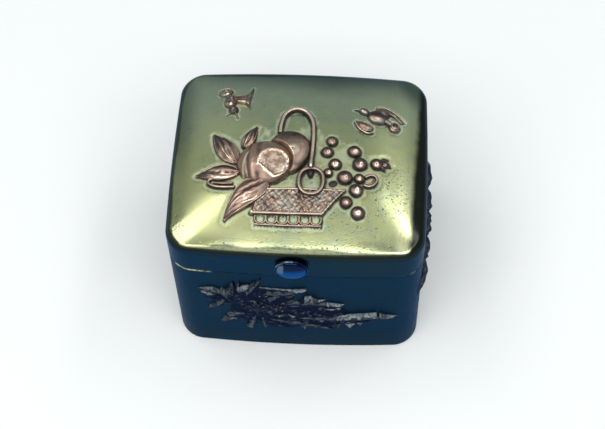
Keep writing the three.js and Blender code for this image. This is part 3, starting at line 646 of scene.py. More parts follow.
def new_edges(made):
    return [item for item in made["geom"] if isinstance(item, bmesh.types.BMEdge) and item.is_boundary]


def new_verts(made):
    return [item for item in made["geom"] if isinstance(item, bmesh.types.BMVert)]


def pull_ring(bm, edges, way, place):
    """Extrudes a ring of edges and puts each new point where place says for its way round."""
    made = bmesh.ops.extrude_edge_only(bm, edges=edges)
    for vert in new_verts(made):
        vert.co = place(vert[way])
    return new_edges(made)


def plan_ring(bm, way, steps, place):
    """A first ring of edges round the plan."""
    made = bmesh.ops.create_circle(bm, segments=steps, radius=1)
    for number, vert in enumerate(made["verts"]):
        vert[way] = (*ring_way(number / steps), 0)
        vert.co = place(vert[way])
    return [edge for edge in bm.edges if edge.is_boundary or edge.is_wire]


def slab(along, across):
    """A closed block from -1 to 1, cut into strips along x and across y."""
    bm = new_mesh()
    bmesh.ops.create_cube(bm, size=2)
    for axis, parts in ((0, along), (1, across)):
        edges = [edge for edge in bm.edges if abs(edge.verts[0].co[axis] - edge.verts[1].co[axis]) > 1]
        bmesh.ops.subdivide_edges(bm, edges=edges, cuts=parts - 1)
    return bm


def rub(bm, gain):
    """Adds to each point's wear where the surface bends outwards, and takes from it in hollows."""
    wear = bm.verts.layers.float[WEAR_AND_PAINTED_LIGHT]
    bm.normal_update()
    bend = {}
    for vert in bm.verts:
        ways = [(vert.co - edge.other_vert(vert).co).normalized() for edge in vert.link_edges]
        bend[vert] = sum(way.dot(vert.normal) for way in ways) / max(len(ways), 1)
    for vert in bm.verts:
        near = [bend[edge.other_vert(vert)] for edge in vert.link_edges]
        soft = (bend[vert] + sum(near)) / (1 + len(near))
        vert[wear] = min(max(vert[wear] + gain * soft, 0), 1)


def add_piece(bm, name, material, body, nodes=(), gain=0.0, crease=45):
    """Makes the finished mesh an object in metres that rides on a body in place of CAD nodes."""
    bmesh.ops.remove_doubles(bm, verts=bm.verts, dist=MERGE_DISTANCE)
    bmesh.ops.recalc_face_normals(bm, faces=bm.faces)
    if gain:
        rub(bm, gain)
    bmesh.ops.scale(bm, vec=(MM, MM, MM), verts=bm.verts)
    mesh = bpy.data.meshes.new(name)
    bm.to_mesh(mesh)
    bm.free()
    mesh.shade_smooth()
    mesh.set_sharp_from_angle(angle=math.radians(crease))
    mesh.materials.append(material)
    piece = bpy.data.objects.new(name, mesh)
    bpy.context.scene.collection.objects.link(piece)
    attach(piece, body)
    if nodes:
        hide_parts(*nodes)


def add_ornament(bm, name, material, *nodes, gain=0.0):
    """Adds a cast piece that is soldered to the lid."""
    add_piece(bm, name, material, "lid", nodes, gain)


def plain(tone):
    """A relief that keeps a boss as it is and gives it one tone."""
    return lambda x, y, h, wear: (h, tone)


def boss(face, at, half, height, turn=0.0, relief=None, taper=0.0, fineness=(40, 24)):
    """A round boss on an oval; relief(x, y, h, wear) alters it, with x and y running from -1 to 1."""
    bm = new_mesh()
    bmesh.ops.create_uvsphere(bm, u_segments=fineness[0], v_segments=fineness[1], radius=1)
    wear = bm.verts.layers.float[WEAR_AND_PAINTED_LIGHT]
    spin = Matrix.Rotation(math.radians(turn), 2)
    for vert in bm.verts:
        x, y, z = vert.co
        h = height * z ** 0.8 if z > 0 else SINK * z
        vert[wear] = 0.1 + 0.75 * smooth(z, 0.15, 0.95)
        if relief and z > 0:
            h, vert[wear] = relief(x, y, h, vert[wear])
        across = spin @ Vector((half[0] * x * (1 + taper * y), half[1] * y))
        vert.co = face.at(at[0] + across.x, at[1] + across.y, h)
    return bm


class Leaf:
    """A leaf's outline: s runs from base to tip, 0 to 1, and t across it, -1 to 1."""

    def __init__(self, base, tip, half, bow=0.0, belly=0.75):
        self.start = Vector(base)
        self.along = Vector(tip) - self.start
        self.across = Vector((-self.along.y, self.along.x)).normalized()
        self.middle = self.start + self.along / 2
        self.half = half
        self.bow = bow
        self.belly = belly

    def swell(self, s):
        return math.sin(math.pi * s ** self.belly)

    def spot(self, s, t, inset=0.0):
        width = self.half * (0.05 + 0.95 * self.swell(s)) - inset
        return self.start + self.along * s + self.across * (t * width + 4 * self.bow * s * (1 - s))

    def covers(self, u, v, margin):
        """Whether the leaf lies over (u, v), a margin included."""
        off = Vector((u, v)) - self.start
        s = off.dot(self.along) / self.along.length_squared
        if not 0 < s < 1:
            return False
        side = off.dot(self.across) - 4 * self.bow * s * (1 - s)
        return abs(side) < self.half * (0.05 + 0.95 * self.swell(s)) + margin


LEAF_EDGE_STEPS = 14
LEAF_EDGE_WIRE = 0.13


def veined_leaf(face, leaf, height, ribs, lean=0.0, fineness=(48, 24), tone=0.0):
    """A leaf with low ribs, painted highlight streaks and a fine raised line round its edge; tone lightens
    it.
    """
    bm = slab(*fineness)
    wear = bm.verts.layers.float[WEAR_AND_PAINTED_LIGHT]
    for vert in bm.verts:
        s = (vert.co.x + 1) / 2
        t = vert.co.y
        spot = leaf.spot(s, t)
        h = -SINK
        if vert.co.z > 0:
            rise = 0.6 + 0.4 * math.sin(math.pi * s)
            crown = (0.5 + 0.5 * (1 - abs(t) ** 1.8)) * rise
            across = ribs * (t / 2 + lean * s)
            rib = math.cos(math.tau * across) * leaf.swell(s) * (1 - t * t)
            fall = 1 - 0.3 * smooth(abs(t), 0.86, 1)
            streak = noise.noise((s * 2.2, across * 4.5, spot.x))
            fine = noise.noise((s * 4.0, across * 11, spot.y))
            h = height * (crown * fall + 0.11 * rib + 0.08 * streak)
            # Painted light: the leaf is lit towards its front, away from its base and tip, and the streaks
            # there are painted highlights
            lit = math.sin(math.pi * min(s / 0.8, 1)) * smooth(spot.y - leaf.middle.y, 1.4, -0.8)
            rubbed = max(streak + 0.4 * fine + 0.12, 0)
            vert[wear] = 0.24 + tone + 0.18 * rib + 1.1 * lit * rubbed + 0.12 * lit
            vert[wear] -= 0.12 * smooth(s, 0.55, 0.95)
        vert.co = face.at(spot.x, spot.y, h)
    for edge in (-1, 1):
        points = []
        for step in range(1, LEAF_EDGE_STEPS + 1):
            s = step / LEAF_EDGE_STEPS
            spot = leaf.spot(s, edge, LEAF_EDGE_WIRE if step < LEAF_EDGE_STEPS else 0)
            points.append((spot.x, spot.y, height * 0.46 * (0.6 + 0.4 * math.sin(math.pi * s))))
        join(bm, wire(face, points, LEAF_EDGE_WIRE, steps=3, sides=8, high=0.75 + tone))
    return bm


def jagged_leaf(face, leaf, height, teeth, fineness):
    """A cast leaf with notched lobes: its wear paints a highlight on the slope above its ridge and shade on
    the face below it.
    """
    bm = slab(*fineness)
    wear = bm.verts.layers.float[WEAR_AND_PAINTED_LIGHT]
    up = math.copysign(1, leaf.across.y)
    ridge = 0.4 * abs(leaf.across.y)
    for vert in bm.verts:
        s = (vert.co.x + 1) / 2
        t = vert.co.y
        turn = math.fmod(teeth * s * 0.999 + 0.1 * abs(t), 1)
        lobe = turn / 0.72 if turn < 0.72 else (1 - turn) / 0.28
        spot = leaf.spot(s, t * (0.62 + 0.38 * lobe))
        high = t * up
        crest = ridge - 0.35 * (1 - lobe)
        if high > crest:
            fall = (high - crest) / (1 - crest)
            lift = 1 - 0.92 * fall
            vert[wear] = 0.55 + 0.4 * lobe - 0.3 * fall
        else:
            fall = (crest - high) / (1 + crest)
            lift = 1 - 0.6 * fall
            vert[wear] = 0.3 * (1 - fall) ** 3 + 0.05
        h = height * lift * (0.6 + 0.4 * math.sin(math.pi * s ** 0.8)) * (0.84 + 0.16 * lobe)
        vert.co = face.at(spot.x, spot.y, h if vert.co.z > 0 else -SINK)
    return bm


def panel(face, corners, thickness, relief, fineness):
    """A plate on four corners, low left, low right, high left and high right, with a relief on top."""
    bm = slab(*fineness)
    wear = bm.verts.layers.float[WEAR_AND_PAINTED_LIGHT]
    low_left, low_right, high_left, high_right = [Vector(corner) for corner in corners]
    for vert in bm.verts:
        s = (vert.co.x + 1) / 2
        t = (vert.co.y + 1) / 2
        spot = low_left.lerp(low_right, s).lerp(high_left.lerp(high_right, s), t)
        h = -SINK
        if vert.co.z > 0:
            lift, vert[wear] = relief(spot.x, spot.y, s, t)
            h = thickness * lift
        vert.co = face.at(spot.x, spot.y, h)
    return bm


def through(points, steps, closed=False):
    """Points of a smooth curve through the given ones."""
    points = [Vector(point) for point in points]
    count = len(points)
    ends = points if closed else [2 * points[0] - points[1], *points, 2 * points[-1] - points[-2]]
    curve = []
    for number in range(count if closed else count - 1):
        if closed:
            a, b, c, d = [points[(number + shift) % count] for shift in (-1, 0, 1, 2)]
        else:
            a, b, c, d = ends[number:number + 4]
        for step in range(steps):
            t = step / steps
            curved = 2 * b + (c - a) * t + (2 * a - 5 * b + 4 * c - d) * t ** 2
            curve.append(0.5 * (curved + (3 * b - a - 3 * c + d) * t ** 3))
    if not closed:
        curve.append(points[-1])
    return curve


def wire(face, points, radius, steps=6, sides=12, closed=False, taper=None, bead=0, high=0.85):
    """Round wire through (u, v, h) points on a face; taper(share) and beads vary its thickness."""
    bm = new_mesh()
    way = bm.verts.layers.float_vector.new(WAY)
    wear = bm.verts.layers.float[WEAR_AND_PAINTED_LIGHT]
    curve = through([face.at(*point) for point in points], steps, closed)
    count = len(curve)
    made = bmesh.ops.create_circle(bm, segments=sides, radius=1, cap_ends=not closed)
    for vert in made["verts"]:
        vert[way] = vert.co
    edges = bm.edges[:]
    for number in range(count + 1 if closed else count):
        here = curve[number % count]
        before = curve[number - 1] if closed or number else here
        after = curve[(number + 1) % count] if closed or number + 1 < count else here
        ahead = (after - before).normalized()
        side = ahead.cross(face.out).normalized()
        up = side.cross(ahead)
        share = number / (count if closed else count - 1)
        thick = radius * (taper(share) if taper else 1)
        if bead:
            thick *= 0.78 + 0.32 * abs(math.sin(math.pi * bead * share))

        def place(spot, here=here, side=side, up=up, thick=thick):
            return here + (side * spot[0] + up * spot[1]) * thick

        if number:
            edges = pull_ring(bm, edges, way, place)
            verts = {vert for edge in edges for vert in edge.verts}
        else:
            verts = set(made["verts"])
            for vert in verts:
                vert.co = place(vert[way])
        for vert in verts:
            vert[wear] = 0.12 + (high - 0.12) * smooth(vert[way].y, 0.62, 1.0)
    if not closed:
        bmesh.ops.edgeloop_fill(bm, edges=edges)
    bm.verts.layers.float_vector.remove(way)
    return bm


def lathe(profile, centre, axis, steps=48):
    """Turns (radius, along) points round an axis through centre; Y or X."""
    bm = new_mesh()
    along = Vector((0, 1, 0)) if axis == "Y" else Vector((1, 0, 0))
    verts = [bm.verts.new(Vector(centre) + along * far + Vector((0, 0, radius))) for radius, far in profile]
    edges = [bm.edges.new(pair) for pair in zip(verts, verts[1:])]
    bmesh.ops.spin(
        bm, geom=[*verts, *edges], cent=centre, axis=along, angle=math.tau, steps=steps, use_merge=True)
    bmesh.ops.remove_doubles(bm, verts=bm.verts, dist=MERGE_DISTANCE)
    return bm


def block(low, high, round_edge):
    """A plate between two corners with rounded edges."""
    bm = new_mesh()
    bmesh.ops.create_cube(bm, size=1)
    size = Vector(high) - Vector(low)
    bmesh.ops.scale(bm, vec=size, verts=bm.verts)
    bmesh.ops.translate(bm, vec=(Vector(high) + Vector(low)) / 2, verts=bm.verts)
    bmesh.ops.bevel(
        bm, geom=bm.edges[:], offset=round_edge, affect="EDGES", segments=2, profile=0.5, material=-1)
    return bm


# Fruit on the lid

PEACH_FRONT = {"at": (-6.4, -3.6), "half": (5.45, 4.85), "height": 2.45}
PEACH_REAR = {"at": (-1.75, -1.05), "half": (4.0, 4.8), "height": 2.0, "taper": 0.14}
FACET_WAY = Vector((0.33, -0.20, 0.92)).normalized()
FACET_CUT = 0.82
FACET_CHORD = Vector((-0.66, -0.75))
FACET_CHORD_FAR = 0.40
GRAPES = (
    (6.4, 1.9, 1.15), (5.6, -0.65, 1.2), (7.3, -3.3, 1.25), (10.9, 0.0, 1.3), (12.05, -2.8, 1.45),
    (15.3, -2.3, 1.25), (5.95, -5.3, 0.92), (9.25, -6.15, 1.5), (12.0, -6.05, 1.05), (11.45, -8.75, 1.35),
    (9.65, -11.3, 1.2), (11.9, -13.3, 1.3),
)
# Grapes whose painted highlight is dimmer
DIM_HIGHLIGHT_GRAPES = (0,)
STUB = {"at": (7.0, -7.5), "half": (0.75, 0.6), "height": 0.22, "turn": 20}
# The sprig's leaves: base, tip, half width, height and how finely each is cut
SPRIG = (
    ((15.9, -1.5), (18.0, -2.5), 0.75, 0.75, (24, 14)),
    ((16.1, -1.4), (17.3, -0.9), 0.5, 0.6, (20, 12)),
    ((16.1, -2.3), (16.9, -3.6), 0.5, 0.6, (20, 12)),
)
SPRIG_TONE = -0.4
TENDRIL_OUTER = (
    (12.9, -7.45, 0.3), (13.9, -7.6, 0.34), (14.9, -7.05, 0.36), (15.4, -6.0, 0.36), (15.05, -5.15, 0.36),
    (14.2, -5.05, 0.34), (13.1, -5.7, 0.3),
)
TENDRIL_INNER = ((13.2, -7.0, 0.2), (14.1, -7.0, 0.22), (14.75, -6.5, 0.22), (14.95, -5.9, 0.2))


def front_peach_relief(x, y, h, wear):
    """A cleft and two soft lobes on the left, and a flat worn facet with a crinkled rim on the right; painted
    highlights on the left and on the rim's lower left, painted shade towards the back, and darker towards the
    front edge.
    """
    cleft = math.exp(-((x + 0.60 - 0.16 * y * y) / 0.055) ** 2)
    lobe = math.exp(-((x + 0.27 - 0.10 * y * y) / 0.10) ** 2)
    h -= (0.2 * cleft + 0.12 * lobe) * smooth(1 - x * x - y * y, 0.0, 0.25)
    z = h / PEACH_FRONT["height"]
    plane = (FACET_CUT - FACET_WAY.x * x - FACET_WAY.y * y) / FACET_WAY.z
    crinkle = noise.noise((x * 8, y * 8, 0.3)) + 0.5 * noise.noise((x * 19, y * 19, 2.2))
    chord = FACET_CHORD_FAR - FACET_CHORD.x * (x - FACET_WAY.x) - FACET_CHORD.y * (y - FACET_WAY.y)
    over = min(z - plane, 0.75 * chord) + 0.03 * crinkle
    # The rim is rubbed bright, with a painted highlight added on its lower left
    broad = smooth(0.3 - x - 0.5 * (y + 0.1), -0.2, 0.5)
    rim = math.exp(-(over / (0.04 + 0.035 * broad)) ** 2)
    if over > 0:
        dent = 0.5 * noise.noise((x * 4, y * 4, 1.7)) + 0.25 * noise.noise((x * 11, y * 11, 4.1))
        flat = PEACH_FRONT["height"] * (plane - 0.02) + 0.16 * dent
        h += (flat - h) * smooth(over, 0, 0.06)
        wear = 0.75 + 0.55 * dent
    else:
        # Painted highlights: a bright streak and a softer glow on the left; painted shade towards the back
        streak = math.exp(-((x + 0.75 - 0.30 * (y + 0.35) ** 2) / 0.035) ** 2)
        blush = math.exp(-((x + 0.42) / 0.10) ** 2 - ((y + 0.15) / 0.5) ** 2)
        wear = 0.46 - 0.03 * smooth(y, 0.0, 0.7) - 0.18 * cleft - 0.12 * lobe
        wear += 0.95 * streak * smooth(y, 0.55, 0.2) + 0.28 * blush - 0.12 * smooth(y, -0.4, -0.8)
    h += 0.17 * rim
    return h, max(wear, (0.80 + 0.3 * broad) * rim)


def rear_peach_relief(x, y, h, wear):
    """Broad and smooth, with painted shade at its back, a painted highlight patch round a pit and a second
    painted highlight spot; it ducks under the front peach.
    """
    u = PEACH_REAR["at"][0] + PEACH_REAR["half"][0] * x * (1 + PEACH_REAR["taper"] * y)
    v = PEACH_REAR["at"][1] + PEACH_REAR["half"][1] * y
    off_u = (u - PEACH_FRONT["at"][0]) / PEACH_FRONT["half"][0]
    off_v = (v - PEACH_FRONT["at"][1]) / PEACH_FRONT["half"][1]
    clear = smooth(math.hypot(off_u, off_v), 0.86, 1.06)
    pit = math.exp(-((x - 0.18) ** 2 + (y - 0.02) ** 2) / 0.005)
    blush = math.exp(-((x - 0.22) ** 2 + (y + 0.06) ** 2) / 0.10)
    spot = math.exp(-((x - 0.62) ** 2 + (y - 0.28) ** 2) / 0.03)
    wear = 0.42 + 0.70 * blush + 0.3 * spot - 0.22 * smooth(y, 0.2, 0.8) - 0.4 * pit
    wear -= 0.10 * smooth(y, -0.2, -0.7)
    broad = PEACH_REAR["height"] * max(1 - x * x - y * y, 0) ** 0.33
    return (broad - 0.14 * pit) * (0.3 + 0.7 * clear), wear * (0.3 + 0.7 * clear)


def grape_relief(number):
    """A dark berry with a painted highlight patch on its front and a dark pinprick pit in it for the dark
    centre of the reflection, each grape's own.
    """
    dim = 0.45 if number in DIM_HIGHLIGHT_GRAPES else 1.0
    patch_x = 0.10 + 0.12 * math.sin(2.3 * number)
    patch_y = -0.30 + 0.08 * math.sin(3.1 * number)
    prick_x = patch_x + 0.10 * math.cos(1.7 * number)
    reach = 0.35 + 0.08 * math.sin(4.3 * number)

    def relief(x, y, h, wear):
        off = math.hypot(x - patch_x, y - patch_y) + 0.22 * noise.noise((x * 2.6, y * 2.6, number))
        prick = math.exp(-((x - prick_x) ** 2 + (y - patch_y) ** 2) / 0.010)
        rubbed = smooth(off, reach + 0.10, reach - 0.14)
        shade = 0.20 + 0.16 * smooth(y, 0.5, -0.5) * smooth(math.hypot(x, y), 1.0, 0.7)
        return h - 0.1 * prick, shade + 0.66 * dim * rubbed - 0.9 * prick
    return relief


class BOX_OT_peaches(bpy.types.Operator):
    """Adds the two peaches"""
    bl_idname = "box.peaches"
    bl_label = "Peaches"

    def execute(self, context):
        face = Form(context.scene.box_sizes).lid
        cast = cast_copper(context.scene.box_colours)
        for spec, relief, name, node in (
                (PEACH_FRONT, front_peach_relief, "faceted_peach", "peach_front"),
                (PEACH_REAR, rear_peach_relief, "round_peach", "peach_rear")):
            bm = boss(face, relief=relief, fineness=(112, 80), **spec)
            add_ornament(bm, name, cast, node, gain=0.4)
        return {"FINISHED"}


class BOX_OT_grapes(bpy.types.Operator):
    """Adds the bunch of grapes with its tendril and small leaf"""
    bl_idname = "box.grapes"
    bl_label = "Grapes"

    def execute(self, context):
        face = Form(context.scene.box_sizes).lid
        cast = cast_copper(context.scene.box_colours)
        bunch = new_mesh()
        for number, (u, v, radius) in enumerate(GRAPES):
            relief = grape_relief(number)
            join(bunch, boss(face, (u, v), (radius, radius), 0.55 + 0.5 * radius, relief=relief))
        join(bunch, boss(face, relief=plain(0.15), fineness=(16, 10), **STUB))
        grapes = [f"grape_{number}" for number in range(1, len(GRAPES) + 1)]
        add_ornament(bunch, "grape_bunch", cast, *grapes)
        sprig = new_mesh()
        for base, tip, half, height, fineness in SPRIG:
            join(sprig, veined_leaf(face, Leaf(base, tip, half), height, 1, 0.1, fineness, SPRIG_TONE))
        add_ornament(sprig, "vine_sprig", cast, "vine_leaf", gain=0.4)
        curl = join(wire(face, TENDRIL_OUTER, 0.3), wire(face, TENDRIL_INNER, 0.17, sides=8))
        add_ornament(curl, "vine_tendril", cast, "tendril")
        return {"FINISHED"}


# Leaves, basket and birds on the lid

# Each leaf: base, tip, half width, bow, where it is widest; then height, ribs, their lean, how light it is
LID_LEAVES = {
    "leaf_back_left": (((-11.6, -3.7), (-17.0, 3.5), 1.95, 0.0, 0.85), 1.0, 3, 0.3, 0.05),
    "leaf_back": (((-11.0, -0.1), (-8.45, 4.85), 1.25, 0.0, 0.8), 0.9, 3, -0.2, -0.06),
    "leaf_left": (((-11.0, -5.5), (-19.8, -5.75), 1.75, -0.2, 0.8), 1.0, 2, 0.25, 0.0),
    "leaf_front": (((-5.6, -7.2), (-13.6, -15.6), 2.45, -0.7, 0.62), 1.7, 3, 0.5, 0.16),
}
STEM_OUTER = (
    (-12.0, -8.85, 0.35), (-14.2, -8.8, 0.36), (-16.0, -8.45, 0.36), (-17.15, -7.75, 0.35),
    (-17.1, -6.95, 0.3), (-16.5, -6.75, 0.25),
)
STEM_INNER = ((-12.4, -7.95, 0.22), (-14.4, -7.9, 0.24), (-16.1, -7.6, 0.2))


class BOX_OT_leaves(bpy.types.Operator):
    """Adds the veined leaves round the fruit"""
    bl_idname = "box.leaves"
    bl_label = "Leaves"

    def execute(self, context):
        face = Form(context.scene.box_sizes).lid
        cast = cast_copper(context.scene.box_colours)
        for node, (outline, height, ribs, lean, tone) in LID_LEAVES.items():
            bm = veined_leaf(face, Leaf(*outline), height, ribs, lean, (72, 36), tone)
            add_ornament(bm, node.replace("leaf", "veined_leaf"), cast, node, gain=0.6)
        stem = join(wire(face, STEM_OUTER, 0.3), wire(face, STEM_INNER, 0.2, sides=8))
        add_ornament(stem, "curled_stem", cast, "leaf_curl")
        return {"FINISHED"}


# Corners of the basket: low left, low right, high left and high right
BASKET = ((-8.4, -14.15), (5.1, -14.05), (-7.4, -9.25), (9.4, -8.85))
WEAVE_PITCH = 1.3
BEADS = 11
BEAD_PITCH = 1.12
FOOT_LEFT = -7.7
FOOT_MIDDLE = -1.3
FOOT_RIGHT = 5.05
FOOT_LOW = -16.3
FOOT_HIGH = -14.6
FOOT_BAYS = 6
SOLE_RISE = 0.34
SWAG_STEPS = 8


def weave(u, v, s, t):
    """Two families of slanting strips that pass over and under each other, uneven as cast metal is."""
    shake = 0.3 * noise.noise((u * 0.9, v * 0.9, 0.0))
    a = (u + 0.9 * v) / WEAVE_PITCH + shake
    b = (u - 0.9 * v) / WEAVE_PITCH - shake
    over = 1 if (math.floor(a) + math.floor(b)) % 2 else -1
    strip_a = 1 - (2 * (a - math.floor(a)) - 1) ** 2
    strip_b = 1 - (2 * (b - math.floor(b)) - 1) ** 2
    top = max(strip_a * (0.62 + 0.38 * over), strip_b * (0.62 - 0.38 * over))
    lump = noise.noise((u * 1.9, v * 1.9, 5.0))
    blot = noise.noise((u * 0.7, v * 0.7, 9.0))
    cross = (strip_a * strip_b) ** 3 * smooth(lump, -0.1, 0.4)
    edge = smooth(min(s, 1 - s), 0, 0.02) * smooth(min(t, 1 - t), 0, 0.05)
    lift = 0.45 + (0.22 + 0.13 * top + 0.08 * lump + 0.06 * cross) * edge
    if Leaf(*LID_LEAVES["leaf_front"][0]).covers(u, v, 0.1):
        lift = 0.3
    return lift, 0.25 + 0.12 * top + 0.36 * cross + 0.16 * blot


class BOX_OT_basket(bpy.types.Operator):
    """Adds the woven basket with its rims and arcaded foot"""
    bl_idname = "box.basket"
    bl_label = "Basket"

    def execute(self, context):
        face = Form(context.scene.box_sizes).lid
        cast = stained_copper(context.scene.box_colours)
        low_left, low_right, _, high_right = BASKET
        body = panel(face, BASKET, 0.95, weave, (180, 56))
        rim = [(-5.6, -9.45, 0.66), (1.0, -9.25, 0.72), (high_right[0] - 0.3, high_right[1] - 0.25, 0.5)]
        bar = [(low_left[0] + 0.2, low_left[1], 0.72), (-1.6, low_left[1] - 0.05, 0.8), (*low_right, 0.72)]
        right = [(*high_right, 0.5), (7.3, -11.3, 0.7), (*low_right, 0.7)]
        join(body, wire(face, rim, 0.24, 10, high=0.95), wire(face, bar, 0.34, 10, high=0.9))
        join(body, wire(face, right, 0.26, 20, bead=9, high=0.75))
        join(body, boss(face, (low_left[0] + 0.1, low_left[1] + 0.15), (0.6, 0.5), 1.0, fineness=(20, 12)))
        for bead in range(BEADS):
            u = low_left[0] + 1.2 + BEAD_PITCH * bead
            join(body, boss(face, (u, low_left[1] + 0.55), (0.3, 0.26), 0.98, fineness=(12, 8)))
        add_ornament(body, "woven_basket", cast, "basket_body", gain=0.3)
        bend = ((FOOT_LEFT, 0.15), (FOOT_MIDDLE, 0.05), (FOOT_RIGHT, 0.15))
        sole = [(u, FOOT_LOW + off, SOLE_RISE) for u, off in bend]
        foot = wire(face, sole, 0.24, 10, 12, high=0.9)
        pitch = (FOOT_RIGHT - FOOT_LEFT) / FOOT_BAYS
        for bay in range(FOOT_BAYS):
            u = FOOT_LEFT + (bay + 0.5) * pitch
            swag = []
            for step in range(SWAG_STEPS + 1):
                angle = math.pi * step / SWAG_STEPS
                swag.append((u - 1.02 * math.cos(angle), FOOT_LOW + 1.05 - 0.8 * math.sin(angle), 0.5))
            swag = [(u - 1.0, FOOT_HIGH, 0.45), *swag, (u + 1.0, FOOT_HIGH, 0.45)]
            join(foot, wire(face, swag, 0.22, 3, 10, high=0.66))
            if bay:
                join(foot, boss(face, (u - pitch / 2, FOOT_LOW + 0.2), (0.3, 0.25), 0.6, fineness=(12, 8)))
        add_ornament(foot, "arcaded_foot", cast, "basket_foot")
        return {"FINISHED"}


HANDLE = (
    (-3.8, 3.2, 0.5), (-3.65, 5.4, 0.5), (-2.95, 8.05, 0.5), (-1.0, 9.5, 0.5), (1.05, 8.75, 0.5),
    (2.4, 6.45, 0.5), (2.75, 3.6, 0.5), (2.75, 0.5, 0.55), (2.65, -2.4, 0.7), (2.6, -3.9, 1.45),
    (2.6, -4.7, 1.8), (2.6, -5.3, 1.5),
)
HANDLE_TAB = {"at": (2.6, -5.75), "half": (0.6, 0.8), "height": 0.9}
RING = {"at": (2.75, -7.65), "half": (2.35, 2.95), "back": 0.6, "front": 1.5, "radius": 0.45}
RING_SQUARENESS = 2.3
RING_STEPS = 24


class BOX_OT_handle(bpy.types.Operator):
    """Adds the basket's hooped handle and its ring"""
    bl_idname = "box.handle"
    bl_label = "Handle and ring"

    def execute(self, context):
        face = Form(context.scene.box_sizes).lid
        cast = cast_copper(context.scene.box_colours)

        def slim_end(share):
            return 1 - 0.6 * smooth(share, 0.93, 1.0)

        hoop = wire(face, HANDLE, 0.5, 8, 16, high=0.95, taper=slim_end)
        join(hoop, boss(face, relief=plain(0.12), taper=0.45, **HANDLE_TAB))
        add_ornament(hoop, "hooped_handle", cast, "basket_handle")
        points = []
        for step in range(RING_STEPS):
            angle = math.tau * step / RING_STEPS
            x, y = math.cos(angle), math.sin(angle)
            square = (abs(x) ** RING_SQUARENESS + abs(y) ** RING_SQUARENESS) ** (-1 / RING_SQUARENESS)
            h = RING["back"] + (RING["front"] - RING["back"]) * (1 - y * square) / 2
            u = RING["at"][0] + RING["half"][0] * x * square
            v = RING["at"][1] + RING["half"][1] * y * square
            points.append((u, v, h))
        ring = wire(face, points, RING["radius"], 3, 16, closed=True, high=0.8)
        add_ornament(ring, "hanging_ring", cast, "basket_ring")
        return {"FINISHED"}


def wing_relief(u, v, s, t):
    """A dull wing with a few feather lines that rolls up to a rubbed lower edge."""
    feather = math.cos(math.tau * 3.5 * t)
    roll = math.exp(-((t - 0.1) / 0.09) ** 2) * smooth(s, 0.05, 0.25)
    lift = 0.55 + 0.45 * roll + 0.06 * feather * s
    dull = 0.34 - 0.22 * smooth(s, 0.8, 0.98) + 0.05 * feather * s
    return lift * (1 - 0.4 * smooth(abs(2 * t - 1), 0.9, 1)), dull + 0.5 * roll * smooth(s, 1.0, 0.9)


def body_relief(x, y, h, wear):
    """A bird's body: a painted highlight along its lower side and painted shade along its back."""
    low = math.exp(-((x + 0.1) / 0.6) ** 2 - ((y + 0.42) / 0.24) ** 2)
    return h, 0.14 + 0.78 * low


def spot_relief(x, y, h, wear):
    """A dark lump with one rubbed spot."""
    return h, 0.14 + 0.8 * math.exp(-(x * x + y * y) / 0.07)


def lump_relief(x, y, h, wear):
    """A dark cast lump with a few rubbed spots."""
    spot = noise.noise((x * 2.4, y * 2.4, 3.0))
    return h * (1 + 0.3 * spot), 0.26 + 0.6 * smooth(spot, 0.12, 0.5)


# Corners of the left bird's tail, and the wires of its wing's edge and its beak
TAIL_ROOT = ((-13.3, 11.2), (-11.2, 11.0), (-13.4, 13.0), (-11.4, 13.3))
TAIL_FAN = ((-11.2, 11.0), (-10.4, 9.9), (-11.4, 13.3), (-9.9, 15.7))
LEFT_WING = (
    (-16.75, 13.6, 0.3), (-16.6, 14.7, 0.36), (-15.7, 15.2, 0.38), (-14.6, 15.1, 0.36), (-14.05, 14.4, 0.3),
)
LEFT_BEAK = ((-13.2, 8.7, 0.3), (-12.8, 8.0, 0.22), (-12.5, 7.3, 0.12))
LEFT_CHIN = ((-14.1, 8.7, 0.25), (-14.9, 8.1, 0.12))
# Wires of the right bird: round its tail, its tail's root, its far wing, its near wing and its beak
TAIL_LOOP = (
    (18.1, 7.7, 0.65), (18.05, 6.8, 0.8), (18.65, 6.35, 0.85), (19.3, 6.8, 0.8), (19.25, 7.6, 0.65),
)
TAIL_STALK = ((16.8, 8.1, 0.45), (17.9, 7.4, 0.5))
FAR_WING = (
    (14.9, 11.1, 0.3), (16.3, 11.4, 0.4), (18.0, 10.8, 0.42), (19.4, 9.8, 0.4), (20.5, 8.6, 0.2),
)
FAR_FEATHER = ((17.5, 10.2, 0.3), (18.6, 9.6, 0.3), (20.0, 8.4, 0.15))
NEAR_WING = (
    (14.4, 5.0, 0.25), (13.5, 4.65, 0.33), (12.3, 5.0, 0.36), (11.3, 5.9, 0.36), (10.75, 7.1, 0.25),
)
RIGHT_BEAK = ((11.7, 10.1, 0.35), (11.0, 10.25, 0.2), (10.6, 10.3, 0.1))


